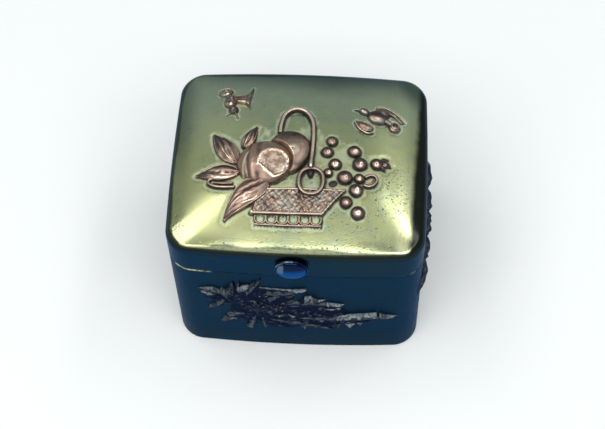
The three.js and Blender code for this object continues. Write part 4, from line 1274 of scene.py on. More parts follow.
class BOX_OT_birds(bpy.types.Operator):
    """Adds the two flying birds"""
    bl_idname = "box.birds"
    bl_label = "Birds"

    def execute(self, context):
        face = Form(context.scene.box_sizes).lid
        cast = stained_copper(context.scene.box_colours)

        def slim(share):
            return 0.5 + 0.5 * math.sin(math.pi * share)

        def pointed(share):
            return 1 - 0.6 * share

        def tail(u, v, s, t):
            return wing_relief(u, v, 0.55 + 0.45 * s, t)

        def tail_root(u, v, s, t):
            return wing_relief(u, v, 0.1 + 0.5 * s, t)

        left = boss(face, (-14.3, 11.75), (1.3, 1.75), 1.05, -8, lump_relief)
        join(
            left,
            boss(face, (-13.6, 9.4), (1.0, 1.0), 0.95, 0, spot_relief),
            boss(face, (-15.5, 14.1), (1.3, 1.1), 0.85, 15, lump_relief),
            panel(face, TAIL_ROOT, 0.85, tail_root, (24, 20)),
            panel(face, TAIL_FAN, 0.85, tail, (20, 20)),
            wire(face, LEFT_WING, 0.2, taper=slim, high=0.45),
            wire(face, LEFT_BEAK, 0.14, sides=8, high=0.6),
            wire(face, LEFT_CHIN, 0.1, sides=8, high=0.35),
        )
        add_ornament(left, "flying_bird_left", cast, "bird_left", gain=0.5)
        far_wing = Leaf((14.8, 10.9), (18.8, 9.9), 0.75, 0.45)
        near_wing = Leaf((14.4, 5.9), (10.9, 7.4), 1.05, 0.35)
        right = boss(face, (15.2, 8.75), (2.0, 1.7), 1.15, -10, body_relief)
        join(
            right,
            boss(face, (12.5, 9.9), (1.1, 0.8), 0.95, -25, body_relief),
            boss(face, (16.2, 10.1), (1.5, 1.1), 1.0, -10, plain(0.22), fineness=(28, 16)),
            boss(face, (18.55, 7.0), (1.15, 1.2), 0.85, 10, body_relief, fineness=(28, 16)),
            wire(face, TAIL_LOOP, 0.17, sides=8),
            wire(face, TAIL_STALK, 0.45, high=0.3),
            wire(face, FAR_WING, 0.24, taper=pointed, high=0.65),
            wire(face, FAR_FEATHER, 0.15, sides=8, high=0.6),
            veined_leaf(face, far_wing, 0.35, 1, 0.0, (24, 12), tone=-0.2),
            veined_leaf(face, near_wing, 0.55, 1, 0.0, (24, 14), tone=-0.15),
            wire(face, NEAR_WING, 0.2, sides=8),
            wire(face, RIGHT_BEAK, 0.16, sides=8, high=0.4),
        )
        add_ornament(right, "flying_bird_right", cast, "bird_right", gain=0.5)
        return {"FINISHED"}


# Sheet metal

# Ornaments with stained ground round them, and how far it reaches
LID_ORNAMENTS = (
    (("faceted_peach", "round_peach", "grape_bunch", "vine_sprig", "vine_tendril", "veined_leaf_back_left",
      "veined_leaf_back", "veined_leaf_left", "veined_leaf_front", "curled_stem", "woven_basket",
      "arcaded_foot", "hooped_handle", "hanging_ring"), 1.3),
    (("flying_bird_left", "flying_bird_right"), 0.8),
)
# Where ornaments face each other across a gap, the ground between them is stained too
GAP_REACH = 3.2
GAP_STEP = 2.2
GAP_BLURS = 6
GAP_SHARE = 0.7
EDGE_RINGS = 10
INNER_EDGE_RINGS = 4
SKIRT_RINGS = 12
LID_MIDDLE = 3
INNER_DOME = (0.8, 0.6, 0.4, 0.2, 0.06)
HOLE_RADIUS = BUSH_HIGH.x / MM - (BUSH_LOW.x + BUSH_HIGH.x) / 2 / MM + 0.06


def near_points(names):
    """A search tree over the plan of the named pieces."""
    points = []
    for name in names:
        piece = bpy.data.objects.get(name)
        if piece is None:
            raise RuntimeError(f"the lid's ground needs {name}, which is made before the lid")
        points += [(vert.co.x / MM, vert.co.y / MM, 0) for vert in piece.data.vertices]
    tree = KDTree(len(points))
    for number, point in enumerate(points):
        tree.insert(point, number)
    tree.balance()
    return tree


def gap_stain(tree, spot):
    """How far a spot lies between two ornaments that face each other, 0 to 1."""
    near, _, reach = tree.find(spot)
    if reach > GAP_REACH:
        return 0
    beyond = tree.find(spot + (spot - near).normalized() * GAP_STEP)[2]
    return smooth(reach, GAP_REACH, 0.6 * GAP_REACH) * smooth(beyond, 1.6, 0.4)


def sink_ground(bm, form):
    """Marks the ground round the ornaments on the lid, and lowers it a little against them."""
    trees = [(near_points(names), far) for names, far in LID_ORNAMENTS]
    ground = bm.verts.layers.float.new(GROUND)
    top = []
    for vert in bm.verts:
        x, y, z = vert.co
        if z > form.dome_foot and z > form.dome(x, y) - LID_SHEET / 2:
            top.append(vert)
            vert[ground] = GAP_SHARE * gap_stain(trees[0][0], Vector((x, y, 0)))
    for _ in range(GAP_BLURS):
        means = []
        for vert in top:
            beside = [edge.other_vert(vert)[ground] for edge in vert.link_edges]
            means.append(sum(beside) / len(beside))
        for vert, mean in zip(top, means):
            vert[ground] = mean
    for vert in top:
        near = max(1 - tree.find((vert.co.x, vert.co.y, 0))[2] / far for tree, far in trees)
        vert[ground] = max(vert[ground], near)
        vert.co.z -= GROUND_DEPTH * smooth(near, 0.1, 0.8)


def line_inside(bm, middle):
    """Marks the faces that look towards the middle of the box."""
    bmesh.ops.recalc_face_normals(bm, faces=bm.faces)
    lining = bm.faces.layers.float.new(LINING)
    for part in bm.faces:
        part[lining] = float(part.normal.dot(part.calc_center_median() - Vector(middle)) < 0)
    return bm


def open_hole(bm, x, z, radius):
    """Opens a round hole through both faces of the skirt's front and lines it."""
    def near(vert):
        return vert.co.y < 0 and math.hypot(vert.co.x - x, vert.co.z - z) < radius
    inside = [face for face in bm.faces if all(near(vert) for vert in face.verts)]
    bmesh.ops.delete(bm, geom=inside, context="FACES")
    edges = [edge for edge in bm.edges if edge.is_boundary]
    for vert in {vert for edge in edges for vert in edge.verts}:
        off = Vector((vert.co.x - x, 0, vert.co.z - z)).normalized() * radius
        vert.co = (x + off.x, vert.co.y, z + off.z)
    bmesh.ops.bridge_loops(bm, edges=edges)


class BOX_OT_lid(bpy.types.Operator):
    """Adds the domed lid as one smooth sheet, with sunken ground round its ornaments"""
    bl_idname = "box.lid"
    bl_label = "Lid"

    def execute(self, context):
        form = Form(context.scene.box_sizes)
        bm = new_mesh()
        way = bm.verts.layers.float_vector.new(WAY)
        bmesh.ops.create_grid(bm, x_segments=2 * PLAN_RINGS, y_segments=2 * PLAN_RINGS, size=1)
        inset = form.edge(0, EDGE_TURN)[0]
        for vert in bm.verts:
            out = max(abs(vert.co.x), abs(vert.co.y))
            vert[way] = (vert.co.x / out, vert.co.y / out, 0) if out > 1e-6 else (1, 0, 0)
            x, y = form.plan(vert[way], inset)
            vert.co = (x * out, y * out, form.dome(x * out, y * out))
        edges = [edge for edge in bm.edges if edge.is_boundary]

        def shoulder(sheet, share):
            set_in, z = form.edge(sheet, EDGE_TURN * share)
            return lambda spot: (*form.plan(spot, set_in), z)

        def skirt(sheet, share, set_in=None):
            def place(spot):
                x, y = form.plan(spot, sheet if set_in is None else set_in)
                low = form.lid_foot(x, y)
                return x, y, low + (form.wall_top - low) * share
            return place

        for step in reversed(range(EDGE_RINGS)):
            edges = pull_ring(bm, edges, way, shoulder(0, step / EDGE_RINGS))
        for step in reversed(range(1, SKIRT_RINGS)):
            edges = pull_ring(bm, edges, way, skirt(0, step / SKIRT_RINGS))
        edges = pull_ring(bm, edges, way, skirt(0, LIP_SHARE))
        edges = pull_ring(bm, edges, way, skirt(0, 0, LIP_ROUND))
        edges = pull_ring(bm, edges, way, skirt(LID_SHEET, 0))
        for step in range(1, SKIRT_RINGS + 1):
            edges = pull_ring(bm, edges, way, skirt(LID_SHEET, step / SKIRT_RINGS))
        for step in range(1, INNER_EDGE_RINGS + 1):
            edges = pull_ring(bm, edges, way, shoulder(LID_SHEET, step / INNER_EDGE_RINGS))
        inner_inset, inner_foot = form.edge(LID_SHEET, EDGE_TURN)
        for out in INNER_DOME:
            def place(spot, out=out):
                x, y = form.plan(spot, inner_inset)
                return x * out, y * out, inner_foot + form.dome_rise * (1 - out ** DOME_POWER)
            edges = pull_ring(bm, edges, way, place)
        bmesh.ops.edgeloop_fill(bm, edges=edges)
        x = (BUSH_LOW.x + BUSH_HIGH.x) / 2 / MM
        z = (BUSH_LOW.z + BUSH_HIGH.z) / 2 / MM
        open_hole(bm, x, z, HOLE_RADIUS)
        bm.verts.layers.float_vector.remove(way)
        sink_ground(bm, form)
        line_inside(bm, (0, 0, form.lid_bottom + LID_MIDDLE))
        brass = lid_brass(context.scene.box_colours)
        add_piece(bm, "domed_lid", brass, "lid", ["lid_shell"], crease=60)
        return {"FINISHED"}


def band(form, sections):
    """A closed band round the plan; each section is (inset, height at (x, y))."""
    bm = new_mesh()
    way = bm.verts.layers.float_vector.new(WAY)

    def placing(inset, height):
        def place(spot):
            x, y = form.plan(spot, inset)
            return x, y, height(x, y)
        return place

    edges = plan_ring(bm, way, 8 * PLAN_RINGS, placing(*sections[0]))
    for inset, height in [*sections[1:], sections[0]]:
        edges = pull_ring(bm, edges, way, placing(inset, height))
    bm.verts.layers.float_vector.remove(way)
    return bm


FOOT_STEPS = 6
WALL_LEVELS = (0.2, 0.4, 0.6, 0.8)
WALL_INSIDE = 15
# How far the rim's lip is set in, and how far below its top, on its way round the edge
RIM_LIP = ((0, 0.5), (0.08, 0.16), (0.25, 0))


class BOX_OT_walls(bpy.types.Operator):
    """Adds the base's bowed wall and the rim inside it"""
    bl_idname = "box.walls"
    bl_label = "Walls"

    def execute(self, context):
        form = Form(context.scene.box_sizes)
        colours = context.scene.box_colours

        def level(height):
            return lambda x, y: height

        def up_wall(share):
            return lambda x, y: FOOT_ROUND + share * (form.base_top(x, y) - FOOT_ROUND)

        def below_top(drop):
            return lambda x, y: form.base_top(x, y) - drop

        sections = [(BASE_SHEET, level(0))]
        for step in range(FOOT_STEPS + 1):
            angle = math.pi / 2 * step / FOOT_STEPS
            rise = FOOT_ROUND * (1 - math.cos(angle))
            sections.append((FOOT_ROUND * (1 - math.sin(angle)), level(rise)))
        sections += [(0, up_wall(share)) for share in WALL_LEVELS]
        sections += [
            (0, below_top(2 * LIP_ROUND)), (0, below_top(LIP_ROUND)),
            (0.3 * LIP_ROUND, below_top(0.3 * LIP_ROUND)), (LIP_ROUND, form.base_top),
            (BASE_SHEET - LIP_ROUND, form.base_top), (BASE_SHEET, form.base_top),
            (BASE_SHEET, level(WALL_INSIDE)),
        ]
        wall = line_inside(band(form, sections), (0, 0, form.base_height / 2))
        add_piece(wall, "bowed_wall", wall_brass(colours), "base", ["base_wall"], crease=50)
        notch = form.hinge_half + NOTCH_GAP
        notch_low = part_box("hinge_knuckle_1")[0].z / MM - NOTCH_GAP
        low, high = RIM_LOW.z / MM, RIM_HIGH.z / MM

        def top(drop):
            return lambda x, y: notch_low - drop if abs(x) < notch and y > 0 else high - drop

        inner = RIM_INSET + RIM_SHEET
        sections = [(inner, level(low)), (RIM_INSET, level(low))]
        sections += [(RIM_INSET + set_in, top(drop)) for set_in, drop in RIM_LIP]
        sections += [(inner - set_in, top(drop)) for set_in, drop in reversed(RIM_LIP)]
        rim = band(form, sections)
        add_piece(rim, "fitted_rim", inner_brass(colours), "base", ["locating_rim"], crease=50)
        return {"FINISHED"}


KNUCKLE_BORE = 0.52
KNUCKLE_ROUND = 0.1
KNUCKLE_BEVEL = 0.03
LEAF_SHEET = 0.6
LEAF_GAP = 0.3
LEAF_ROUND = 0.08


class BOX_OT_hinge(bpy.types.Operator):
    """Adds the hinge's knuckles and leaves, on the base and on the lid"""
    bl_idname = "box.hinge"
    bl_label = "Hinge"

    def execute(self, context):
        form = Form(context.scene.box_sizes)
        brass = inner_brass(context.scene.box_colours)
        for name, body, numbers in (("base_knuckles", "base", (1, 3, 5)), ("lid_knuckles", "lid", (2, 4))):
            bm = new_mesh()
            nodes = [f"hinge_knuckle_{number}" for number in numbers]
            for node in nodes:
                low, high = [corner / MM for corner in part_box(node)]
                radius = high.y - form.hinge_y
                end = [
                    (KNUCKLE_BORE, 0), (radius - KNUCKLE_ROUND, 0), (radius - KNUCKLE_BEVEL, KNUCKLE_BEVEL),
                    (radius, KNUCKLE_ROUND),
                ]
                profile = [(out, low.x + far) for out, far in end]
                profile += [(out, high.x - far) for out, far in reversed(end)]
                profile.append((KNUCKLE_BORE, low.x))
                barrel = lathe(profile, (0, form.hinge_y, form.hinge_z), "X", 40)
                below = body == "base"
                leaf_low = (low.x, low.y, low.z if below else form.hinge_z + LEAF_GAP)
                leaf_high = (high.x, low.y + LEAF_SHEET, form.hinge_z - LEAF_GAP if below else high.z)
                join(bm, barrel, block(leaf_low, leaf_high, LEAF_ROUND))
            add_piece(bm, name, brass, body, nodes, crease=40)
        return {"FINISHED"}


BEZEL = 0.42
SHANK_RADIUS = 1.0
BUTTON_GAP = 0.6
BUTTON_SHEET = 0.5
CROWN_STEPS = 12


class BOX_OT_button(bpy.types.Operator):
    """Adds the polished push button with its shank"""
    bl_idname = "box.button"
    bl_label = "Push button"

    def execute(self, context):
        low, high = BUTTON_LOW / MM, BUTTON_HIGH / MM
        radius = (high.x - low.x) / 2
        centre = ((low.x + high.x) / 2, 0, (low.z + high.z) / 2)
        back = BUSH_LOW.y / MM - BUTTON_GAP
        crown_foot = back - BUTTON_SHEET
        crown = radius - BEZEL
        profile = [(0, low.y)]
        for step in range(1, CROWN_STEPS + 1):
            angle = math.pi / 2 * step / CROWN_STEPS
            profile.append((crown * math.sin(angle), crown_foot + (low.y - crown_foot) * math.cos(angle)))
        profile += [
            (crown + 0.05, crown_foot + 0.1), (crown + 0.12, crown_foot + 0.02),
            (crown + 0.22, crown_foot - 0.03), (radius - 0.06, crown_foot + 0.06),
            (radius, crown_foot + 0.18), (radius, back - 0.12),
            (radius - 0.12, back), (SHANK_RADIUS + 0.1, back), (SHANK_RADIUS, back + 0.1),
            (SHANK_RADIUS, high.y - 0.4), (SHANK_RADIUS / 2, high.y - 0.1), (0, high.y),
        ]
        bm = lathe(profile, centre, "Y", 72)
        wear = bm.verts.layers.float[WEAR_AND_PAINTED_LIGHT]
        for vert in bm.verts:
            out = math.hypot(vert.co.x - centre[0], vert.co.z - centre[2])
            right = vert.co.x - centre[0]
            up = vert.co.z - centre[2]
            # Painted highlights on the rim's upper left and a small one at its upper right, and a paler
            # painted reflection on the crown's left
            if out > crown + 0.02:
                painted_glint = math.exp(-((right - 2.5) ** 2 + (up - 1.2) ** 2) / 0.5)
                vert[wear] = max(0.85 * smooth(right, 0.9, 0.1) * smooth(up, 0.2, 1.4), 0.75 * painted_glint)
            else:
                vert[wear] = 0.74 * smooth(right, -0.9, -1.7) * smooth(up, -1.3, 0.1)
        steel = button_steel(context.scene.box_colours)
        add_piece(bm, "domed_button", steel, "button", ["push_button"], crease=50)
        return {"FINISHED"}


class BOX_OT_fittings(bpy.types.Operator):
    """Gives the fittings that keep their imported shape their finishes"""
    bl_idname = "box.fittings"
    bl_label = "Fittings"

    def execute(self, context):
        colours = context.scene.box_colours
        finishes = {
            "base_floor": inner_brass, "catch_plate": inner_brass, "button_bush": inner_brass,
            "latch_bracket": inner_brass, "latch_spring": drawn_steel, "hinge_pin": drawn_steel,
        }
        for node, finish in finishes.items():
            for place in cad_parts[node].material_slots:
                place.material = finish(colours)
        return {"FINISHED"}


# Sprays on the walls

# Each cast leaf is drawn by the ledge along its upper edge: (along, up, width of the ledge)
FRONT_LEDGES = (
    ((-19.4, 23.4, 0.0), (-18.0, 23.9, 0.5), (-16.4, 24.3, 0.55)),
    ((-18.9, 22.0, 0.1), (-17.7, 22.1, 0.5), (-16.6, 22.3, 0.8), (-15.8, 21.6, 0.2)),
    ((-16.4, 24.4, 0.4), (-14.8, 23.3, 0.7), (-13.8, 23.8, 1.65), (-13.1, 24.7, 1.55), (-12.4, 25.6, 0.3)),
    ((-11.4, 25.5, 0.8), (-10.4, 25.9, 1.45), (-9.1, 26.2, 0.65), (-8.1, 27.5, 0.6), (-7.6, 28.2, 0.0)),
    ((-7.1, 25.6, 0.1), (-4.8, 25.4, 0.2), (-2.0, 25.2, 0.25), (0.0, 25.3, 0.6), (1.6, 25.6, 0.75),
     (2.3, 25.6, 0.3)),
    ((-7.4, 22.1, 0.15), (-6.4, 22.0, 0.3), (-5.5, 22.3, 0.2)),
    ((-5.6, 21.3, 0.3), (-5.0, 21.7, 1.0), (-4.4, 22.2, 1.0), (-3.4, 22.7, 0.5), (-2.1, 23.3, 0.0)),
    ((-1.9, 22.3, 0.2), (-0.9, 23.0, 0.5), (-0.1, 23.3, 0.2)),
    ((-2.3, 19.6, 0.2), (-1.3, 20.4, 0.45), (-0.3, 21.1, 0.2)),
    ((0.8, 19.6, 0.2), (1.4, 21.0, 0.8), (1.9, 22.5, 1.35), (2.6, 22.7, 0.85), (3.3, 22.7, 0.2)),
    ((3.0, 22.3, 0.8), (3.5, 22.1, 1.35), (4.8, 21.2, 0.5), (6.0, 21.4, 0.1)),
    ((6.3, 20.2, 0.7), (7.8, 19.8, 0.7), (9.2, 19.5, 0.55), (9.8, 19.5, 0.1)),
    ((5.6, 18.0, 0.3), (7.3, 17.8, 0.45), (9.1, 18.2, 0.4)),
    ((7.5, 13.4, 0.2), (8.3, 14.6, 1.0), (9.2, 14.9, 1.3), (9.5, 14.9, 0.75), (10.8, 15.1, 1.35),
     (11.4, 15.2, 0.7), (13.2, 15.4, 1.4), (13.5, 15.4, 0.8), (15.3, 15.6, 0.9), (16.1, 15.8, 1.35),
     (16.4, 15.8, 0.7)),
    ((17.0, 15.6, 0.9), (17.3, 15.5, 1.2), (18.2, 14.9, 1.05), (19.7, 14.5, 0.4), (20.7, 14.4, 0.0)),
    ((-13.5, 13.9, 0.2), (-12.1, 14.0, 0.4), (-10.5, 14.6, 0.35)),
    ((-15.6, 10.2, 0.1), (-14.4, 11.4, 0.8), (-13.3, 12.5, 0.85), (-12.2, 11.8, 0.35)),
    ((-10.3, 8.9, 0.2), (-9.5, 9.8, 1.05), (-8.9, 10.1, 1.3)),
    ((-17.7, 15.4, 0.3), (-17.0, 17.1, 0.3)),
    ((-9.8, 19.8, 0.2), (-8.6, 20.6, 0.7), (-7.9, 20.2, 0.9), (-7.0, 18.1, 0.2)),
)
# Buds and broken leaf edges in the lower middle
FRONT_BITS = (
    (-2.6, 16.9), (-3.3, 14.4), (-1.4, 12.7), (-3.0, 11.7), (-0.7, 14.6), (1.4, 16.1), (2.9, 15.1),
    (3.7, 13.3), (5.3, 13.3), (5.8, 14.8), (1.8, 10.4), (3.9, 10.0), (8.7, 10.7), (9.4, 12.3), (11.1, 10.9),
    (13.2, 11.6),
)
# Dark leaves between and behind them: base, tip, half width, bow, teeth
FRONT_LEAVES = (
    ((-12.2, 21.6), (-19.0, 22.6), 1.9, -0.4, 4), ((-12.6, 22.0), (-12.2, 27.2), 0.9, 0.0, 2),
    ((-11.4, 22.5), (-11.0, 27.6), 0.8, 0.0, 2), ((-10.0, 22.0), (-6.6, 28.8), 1.2, 0.0, 3),
    ((-6.4, 22.8), (2.0, 24.6), 1.5, -0.4, 4), ((-4.2, 18.8), (9.6, 18.6), 1.9, 0.6, 5),
    ((1.2, 13.2), (20.0, 14.0), 1.8, -0.3, 7), ((-10.6, 14.6), (-15.4, 10.4), 1.5, 0.0, 3),
    ((-8.3, 13.8), (-9.2, 7.6), 1.2, 0.0, 3), ((-5.0, 12.0), (7.4, 8.4), 1.5, 0.5, 4),
    ((-7.0, 13.6), (-6.4, 7.6), 0.9, 0.0, 3), ((-14.3, 19.0), (-18.0, 15.6), 1.0, 0.3, 2),
)
FRONT_BLOSSOMS = ((-7.9, 17.0, 2.5), (-3.9, 17.6, 1.8))
# Low lumps that close the gaps between the leaves: place and half sizes
FRONT_LUMPS = (
    (-14.2, 20.8, 4.4, 3.0), (-9.4, 20.8, 4.4, 4.8), (-8.4, 15.0, 5.0, 5.2), (-3.4, 16.2, 5.0, 5.8),
    (1.6, 16.2, 5.0, 5.0), (6.2, 15.6, 4.4, 3.2), (-2.4, 11.4, 6.0, 3.2), (4.2, 11.2, 4.4, 2.4),
    (11.0, 12.8, 5.4, 1.6),
)
SIDE_LEDGES = (
    ((8.6, 27.4, 0.0), (6.6, 28.4, 1.0), (4.2, 27.6, 1.6), (2.0, 26.4, 0.6)),
    ((3.0, 25.8, 0.4), (0.6, 27.0, 1.4), (-1.8, 26.6, 1.7), (-3.6, 25.2, 0.5)),
    ((-2.6, 26.4, 0.5), (-5.0, 27.2, 1.7), (-7.4, 26.2, 1.4), (-9.0, 25.0, 0.3)),
    ((-8.0, 25.8, 0.4), (-10.2, 26.2, 1.4), (-12.2, 24.8, 1.2), (-13.6, 23.4, 0.2)),
    ((-12.4, 23.8, 0.3), (-14.6, 23.4, 1.2), (-16.6, 21.4, 0.9), (-18.2, 19.4, 0.1)),
    ((-12.8, 17.2, 0.1), (-9.4, 18.2, 0.9), (-5.8, 18.2, 0.6)),
    ((13.8, 21.3, 0.0), (11.0, 21.8, 0.7), (8.0, 21.2, 1.2), (5.0, 19.8, 0.5)),
    ((12.4, 13.6, 0.0), (9.6, 15.4, 0.8), (6.4, 16.2, 0.9), (4.2, 16.0, 0.4)),
    ((-12.4, 13.4, 0.0), (-9.2, 14.9, 0.8), (-5.0, 15.4, 0.9), (-2.0, 15.4, 0.4)),
    ((-4.4, 9.0, 0.1), (-3.0, 11.4, 0.6), (-1.4, 13.2, 0.5)),
    ((6.4, 9.6, 0.1), (5.0, 11.6, 0.6), (3.2, 13.2, 0.5)),
)
SIDE_BITS = (
    (-10.8, 19.6), (-7.6, 16.6), (-3.6, 20.4), (-0.6, 12.4), (1.6, 11.6), (4.6, 18.2), (7.4, 18.6),
    (9.2, 17.6), (-6.4, 13.2), (7.4, 14.2), (6.8, 28.5), (4.4, 27.4), (0.2, 27.0), (-1.6, 26.0),
    (-4.6, 27.3), (-7.6, 25.8), (-10.4, 26.2), (-12.6, 24.2), (-14.4, 23.6), (-16.8, 20.8),
)
SIDE_LEAVES = (
    ((-2.6, 17.4), (-16.0, 19.4), 2.0, -0.8, 6), ((4.6, 18.0), (13.2, 20.6), 1.8, 0.6, 5),
    ((-1.8, 15.6), (-12.0, 12.8), 1.5, 0.4, 5), ((3.8, 15.6), (11.8, 13.0), 1.4, -0.4, 4),
    ((0.2, 14.9), (-4.0, 8.6), 1.2, 0.2, 4), ((2.0, 14.8), (6.2, 9.2), 1.1, 0.0, 4),
    ((-1.0, 20.0), (-6.2, 24.6), 1.2, 0.2, 3), ((2.4, 20.4), (6.0, 24.8), 1.1, 0.0, 3),
)
SIDE_BLOSSOMS = ((1.0, 17.5, 3.0), (-5.6, 16.6, 1.5))
SIDE_LUMPS = (
    (-7.6, 17.2, 6.4, 3.2), (1.0, 17.0, 5.4, 5.2), (7.8, 17.6, 5.0, 3.0), (-4.0, 13.4, 5.0, 2.8),
    (5.0, 13.6, 4.4, 2.6), (-4.6, 23.4, 8.0, 3.4), (3.6, 24.0, 5.0, 3.4), (-11.6, 21.6, 5.0, 3.0),
)
# A ledge falls and stands out by these shares of its width; its leaf's face drops below it
LEDGE_FALL = 0.52
LEDGE_OUT = 0.86
LEDGE_FOOT = 0.12
LEAF_DROP = 1.5
PETALS = 7
# What a spray is made of, then how far it stands out and how strong the painted highlight on its ledges is
FRONT_SPRAY = (FRONT_LEDGES, FRONT_BITS, FRONT_LEAVES, FRONT_BLOSSOMS, FRONT_LUMPS, 1.3, 1.0)
SIDE_SPRAY = (SIDE_LEDGES, SIDE_BITS, SIDE_LEAVES, SIDE_BLOSSOMS, SIDE_LUMPS, 1.55, 0.2)


def ledge_leaf(face, stations, pale):
    """A cast leaf: a ledge along its upper edge, marked for a painted highlight, and a face under it in
    painted shade.
    """
    spans = len(stations) - 1
    bm = slab(4 * spans, 6)
    ledge = bm.faces.layers.float.new(LEDGE_HIGHLIGHT)
    wear = bm.verts.layers.float[WEAR_AND_PAINTED_LIGHT]
    # Upper faces are marked for a painted highlight
    for part in bm.faces:
        middle = part.calc_center_median()
        if middle.z > 0.5 and middle.y > 0:
            part[ledge] = pale
    for vert in bm.verts:
        number = min(int((vert.co.x + 1) / 2 * spans), spans - 1)
        share = (vert.co.x + 1) / 2 * spans - number
        u, v, width = Vector(stations[number]).lerp(Vector(stations[number + 1]), share)
        width *= 1 + 0.35 * noise.noise((u * 1.7, v * 1.7, 2.0))
        lift = LEDGE_FOOT + LEDGE_OUT * width
        t = vert.co.y
        rough = 0.16 * noise.noise((u * 2.3, v * 2.3, t + 7.0)) * (1 - t * t)
        if t >= 0:
            v -= LEDGE_FALL * width * (1 - t)
            h = lift + (LEDGE_FOOT - lift) * t
        else:
            v += LEAF_DROP * t - LEDGE_FALL * width
            h = lift * (1 + 0.7 * t)
        # Painted light: paler on the upper side, darker on the face below
        vert[wear] = 0.3 + 0.3 * t
        vert.co = face.at(u, v, h + rough if vert.co.z > 0 else -SINK)
    return bm


def bit(face, u, v, number, pale):
    """A small broken leaf edge or bud."""
    lean = 0.45 * math.sin(2.7 * number)
    half = 0.75 + 0.3 * math.sin(1.9 * number)
    width = 0.75 + 0.25 * math.sin(3.3 * number)
    return ledge_leaf(face, ((u - half, v - lean, 0.1), (u, v, width), (u + half, v + lean, 0.1)), pale)


def blossom(face, u, v, radius, proud):
    """A small open flower: petals round a raised centre."""
    bm = boss(face, (u, v), (0.36 * radius, 0.36 * radius), proud, fineness=(20, 12))
    for petal in range(PETALS):
        angle = math.tau * (petal + 0.3) / PETALS
        tip = (u + radius * math.cos(angle), v + radius * math.sin(angle))
        join(bm, jagged_leaf(face, Leaf((u, v), tip, 0.46 * radius), 0.85 * proud, 1, (12, 8)))
    wear = bm.verts.layers.float[WEAR_AND_PAINTED_LIGHT]
    for vert in bm.verts:
        vert[wear] *= 0.45
    return bm


def spray(face, ledges, bits, leaves, blossoms, lumps, proud, pale):
    """A cast spray: low lumps, dark leaves, flowers, ledged leaves and small bits in one piece."""
    bm = new_mesh()
    bm.faces.layers.float.new(LEDGE_HIGHLIGHT)

    def mossy(x, y, h, wear):
        bud = noise.noise((x * 5, y * 5, len(bm.verts) * 0.01))
        return h * (0.8 + 0.8 * bud), 0.08 + 0.5 * smooth(bud, 0.18, 0.5)

    for u, v, half_u, half_v in lumps:
        join(bm, boss(face, (u, v), (half_u, half_v), 0.4 * proud, relief=mossy, fineness=(48, 30)))
    for number, (base, tip, half, bow, teeth) in enumerate(leaves):
        height = proud * (0.5 + 0.12 * math.sin(2.4 * number))
        join(bm, jagged_leaf(face, Leaf(base, tip, half, bow), height, teeth, (max(9 * teeth, 14), 12)))
    for u, v, radius in blossoms:
        join(bm, blossom(face, u, v, radius, 0.8 * proud))
    for stations in ledges:
        join(bm, ledge_leaf(face, stations, pale))
    for number, (u, v) in enumerate(bits):
        join(bm, bit(face, u, v, number, 0.75 + 0.2 * math.sin(5.1 * number)))
    return bm


class BOX_OT_sprays(bpy.types.Operator):
    """Adds the flower sprays on the front and the sides"""
    bl_idname = "box.sprays"
    bl_label = "Sprays"

    def execute(self, context):
        form = Form(context.scene.box_sizes)
        copper = spray_copper(context.scene.box_colours)
        nodes = ["front_blossom", *(f"front_leaf_{number}" for number in range(1, 9))]
        bm = spray(form.front, *FRONT_SPRAY)
        add_piece(bm, "front_spray", copper, "base", nodes, gain=0.5, crease=35)
        for side, face in (("right", form.right), ("left", form.left)):
            nodes = [f"side_{side}_{part}" for part in ("blossom", "leaf_1", "leaf_2")]
            bm = spray(face, *SIDE_SPRAY)
            add_piece(bm, f"{side}_spray", copper, "base", nodes, gain=0.5, crease=35)
        return {"FINISHED"}


# Stage

CAMERA_PLACE = (0.013066, -0.153545, 0.274757)
CAMERA_RIGHT = Vector((0.99846, 0.0523, -0.01852))
CAMERA_UP = Vector((-0.03538, 0.8573, 0.5136))
CAMERA_LENS = 84.99
FILM_WIDTH = 36.0
SIGHT = (0.01, 20.0)
FLOOR_SIZE = 4.0
FLOOR_GAP = 0.00005
# Each lamp: way to it from the box, way of its long side, distance, size along and across, and how bright
LAMPS = (
    ("left_softbox", (-0.48, 0.05, 0.88), (0.05, 1.0, 0.0), 0.8, (0.56, 0.28), 2.45),
    ("right_softbox", (0.49, 0.075, 0.86), (0.10, 1.0, 0.0), 0.8, (0.68, 0.14), 3.5),
    ("front_softbox", (-0.03, -0.57, 0.82), (1.0, 0.0, 0.0), 0.9, (1.4, 0.38), 3.2),
    ("edge_strip", (0.081, -0.401, 0.915), (1.0, -0.06, -0.03), 0.9, (1.4, 0.06), 3.3),
    ("overhead_softbox", (-0.04, 0.06, 1.0), (1.0, 0.0, 0.0), 0.9, (0.7, 0.5), 0.34),
)
WORLD_COLOUR = (0.35, 0.39, 0.40, 1.0)


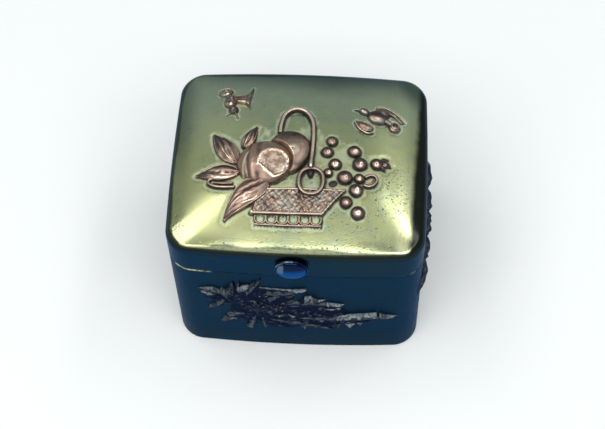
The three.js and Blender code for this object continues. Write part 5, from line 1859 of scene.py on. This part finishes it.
class BOX_OT_stage(bpy.types.Operator):
    """Adds the floor, the soft lamps, the surrounding light and the camera"""
    bl_idname = "box.stage"
    bl_label = "Stage"

    def execute(self, context):
        scene = context.scene
        scene.view_settings.view_transform = "Standard"
        bm = bmesh.new()
        bmesh.ops.create_grid(bm, x_segments=8, y_segments=8, size=FLOOR_SIZE / 2)
        bmesh.ops.translate(bm, vec=(0, 0, -FLOOR_GAP), verts=bm.verts)
        mesh = bpy.data.meshes.new("floor")
        bm.to_mesh(mesh)
        bm.free()
        mesh.materials.append(pale_floor(scene.box_colours))
        floor = bpy.data.objects.new("floor", mesh)
        scene.collection.objects.link(floor)
        target = Vector((0, 0, (CAD_BOX[0].z + CAD_BOX[1].z) / 2))
        for name, way, along, distance, size, bright in LAMPS:
            lamp = bpy.data.lights.new(name, "AREA")
            lamp.shape = "RECTANGLE"
            lamp.size, lamp.size_y = size
            lamp.energy = bright * math.pi * size[0] * size[1]
            light = bpy.data.objects.new(name, lamp)
            way = Vector(way).normalized()
            side = way.cross(along).normalized()
            turn = Matrix((side.cross(way), side, way)).transposed().to_4x4()
            light.matrix_world = Matrix.Translation(target + way * distance) @ turn
            scene.collection.objects.link(light)
        world = bpy.data.worlds.new("studio")
        world.use_nodes = True
        world.node_tree.nodes["Background"].inputs["Color"].default_value = WORLD_COLOUR
        scene.world = world
        back = CAMERA_RIGHT.cross(CAMERA_UP)
        turn = Matrix((CAMERA_RIGHT, CAMERA_UP, back)).transposed().to_4x4()
        lens = bpy.data.cameras.new("camera")
        lens.lens = CAMERA_LENS
        lens.sensor_width = FILM_WIDTH
        lens.clip_start, lens.clip_end = SIGHT
        camera = bpy.data.objects.new("camera", lens)
        camera.matrix_world = Matrix.Translation(CAMERA_PLACE) @ turn
        scene.collection.objects.link(camera)
        scene.camera = camera
        return {"FINISHED"}


PIECES = (
    BOX_OT_peaches, BOX_OT_grapes, BOX_OT_leaves, BOX_OT_basket, BOX_OT_handle, BOX_OT_birds, BOX_OT_lid,
    BOX_OT_walls, BOX_OT_hinge, BOX_OT_button, BOX_OT_fittings, BOX_OT_sprays, BOX_OT_stage,
)


class BOX_PT_panel(bpy.types.Panel):
    """Lists the box's pieces in the sidebar"""
    bl_idname = "BOX_PT_panel"
    bl_label = "Keepsake Box"
    bl_space_type = "VIEW_3D"
    bl_region_type = "UI"
    bl_category = "Box"

    def draw(self, context):
        layout = self.layout
        for group in (context.scene.box_sizes, context.scene.box_colours):
            for name in group.bl_rna.properties.keys():
                if name not in {"rna_type", "name"}:
                    layout.prop(group, name)
        for piece in PIECES:
            layout.operator(piece.bl_idname)


CLASSES = (BoxSizes, BoxColours, *PIECES, BOX_PT_panel)


def register():
    for item in CLASSES:
        bpy.utils.register_class(item)
    bpy.types.Scene.box_sizes = PointerProperty(type=BoxSizes)
    bpy.types.Scene.box_colours = PointerProperty(type=BoxColours)


def unregister():
    del bpy.types.Scene.box_colours
    del bpy.types.Scene.box_sizes
    for item in reversed(CLASSES):
        bpy.utils.unregister_class(item)


def main():
    register()
    for piece in PIECES:
        group, name = piece.bl_idname.split(".")
        getattr(getattr(bpy.ops, group), name)()


if __name__ == "__main__":
    main()
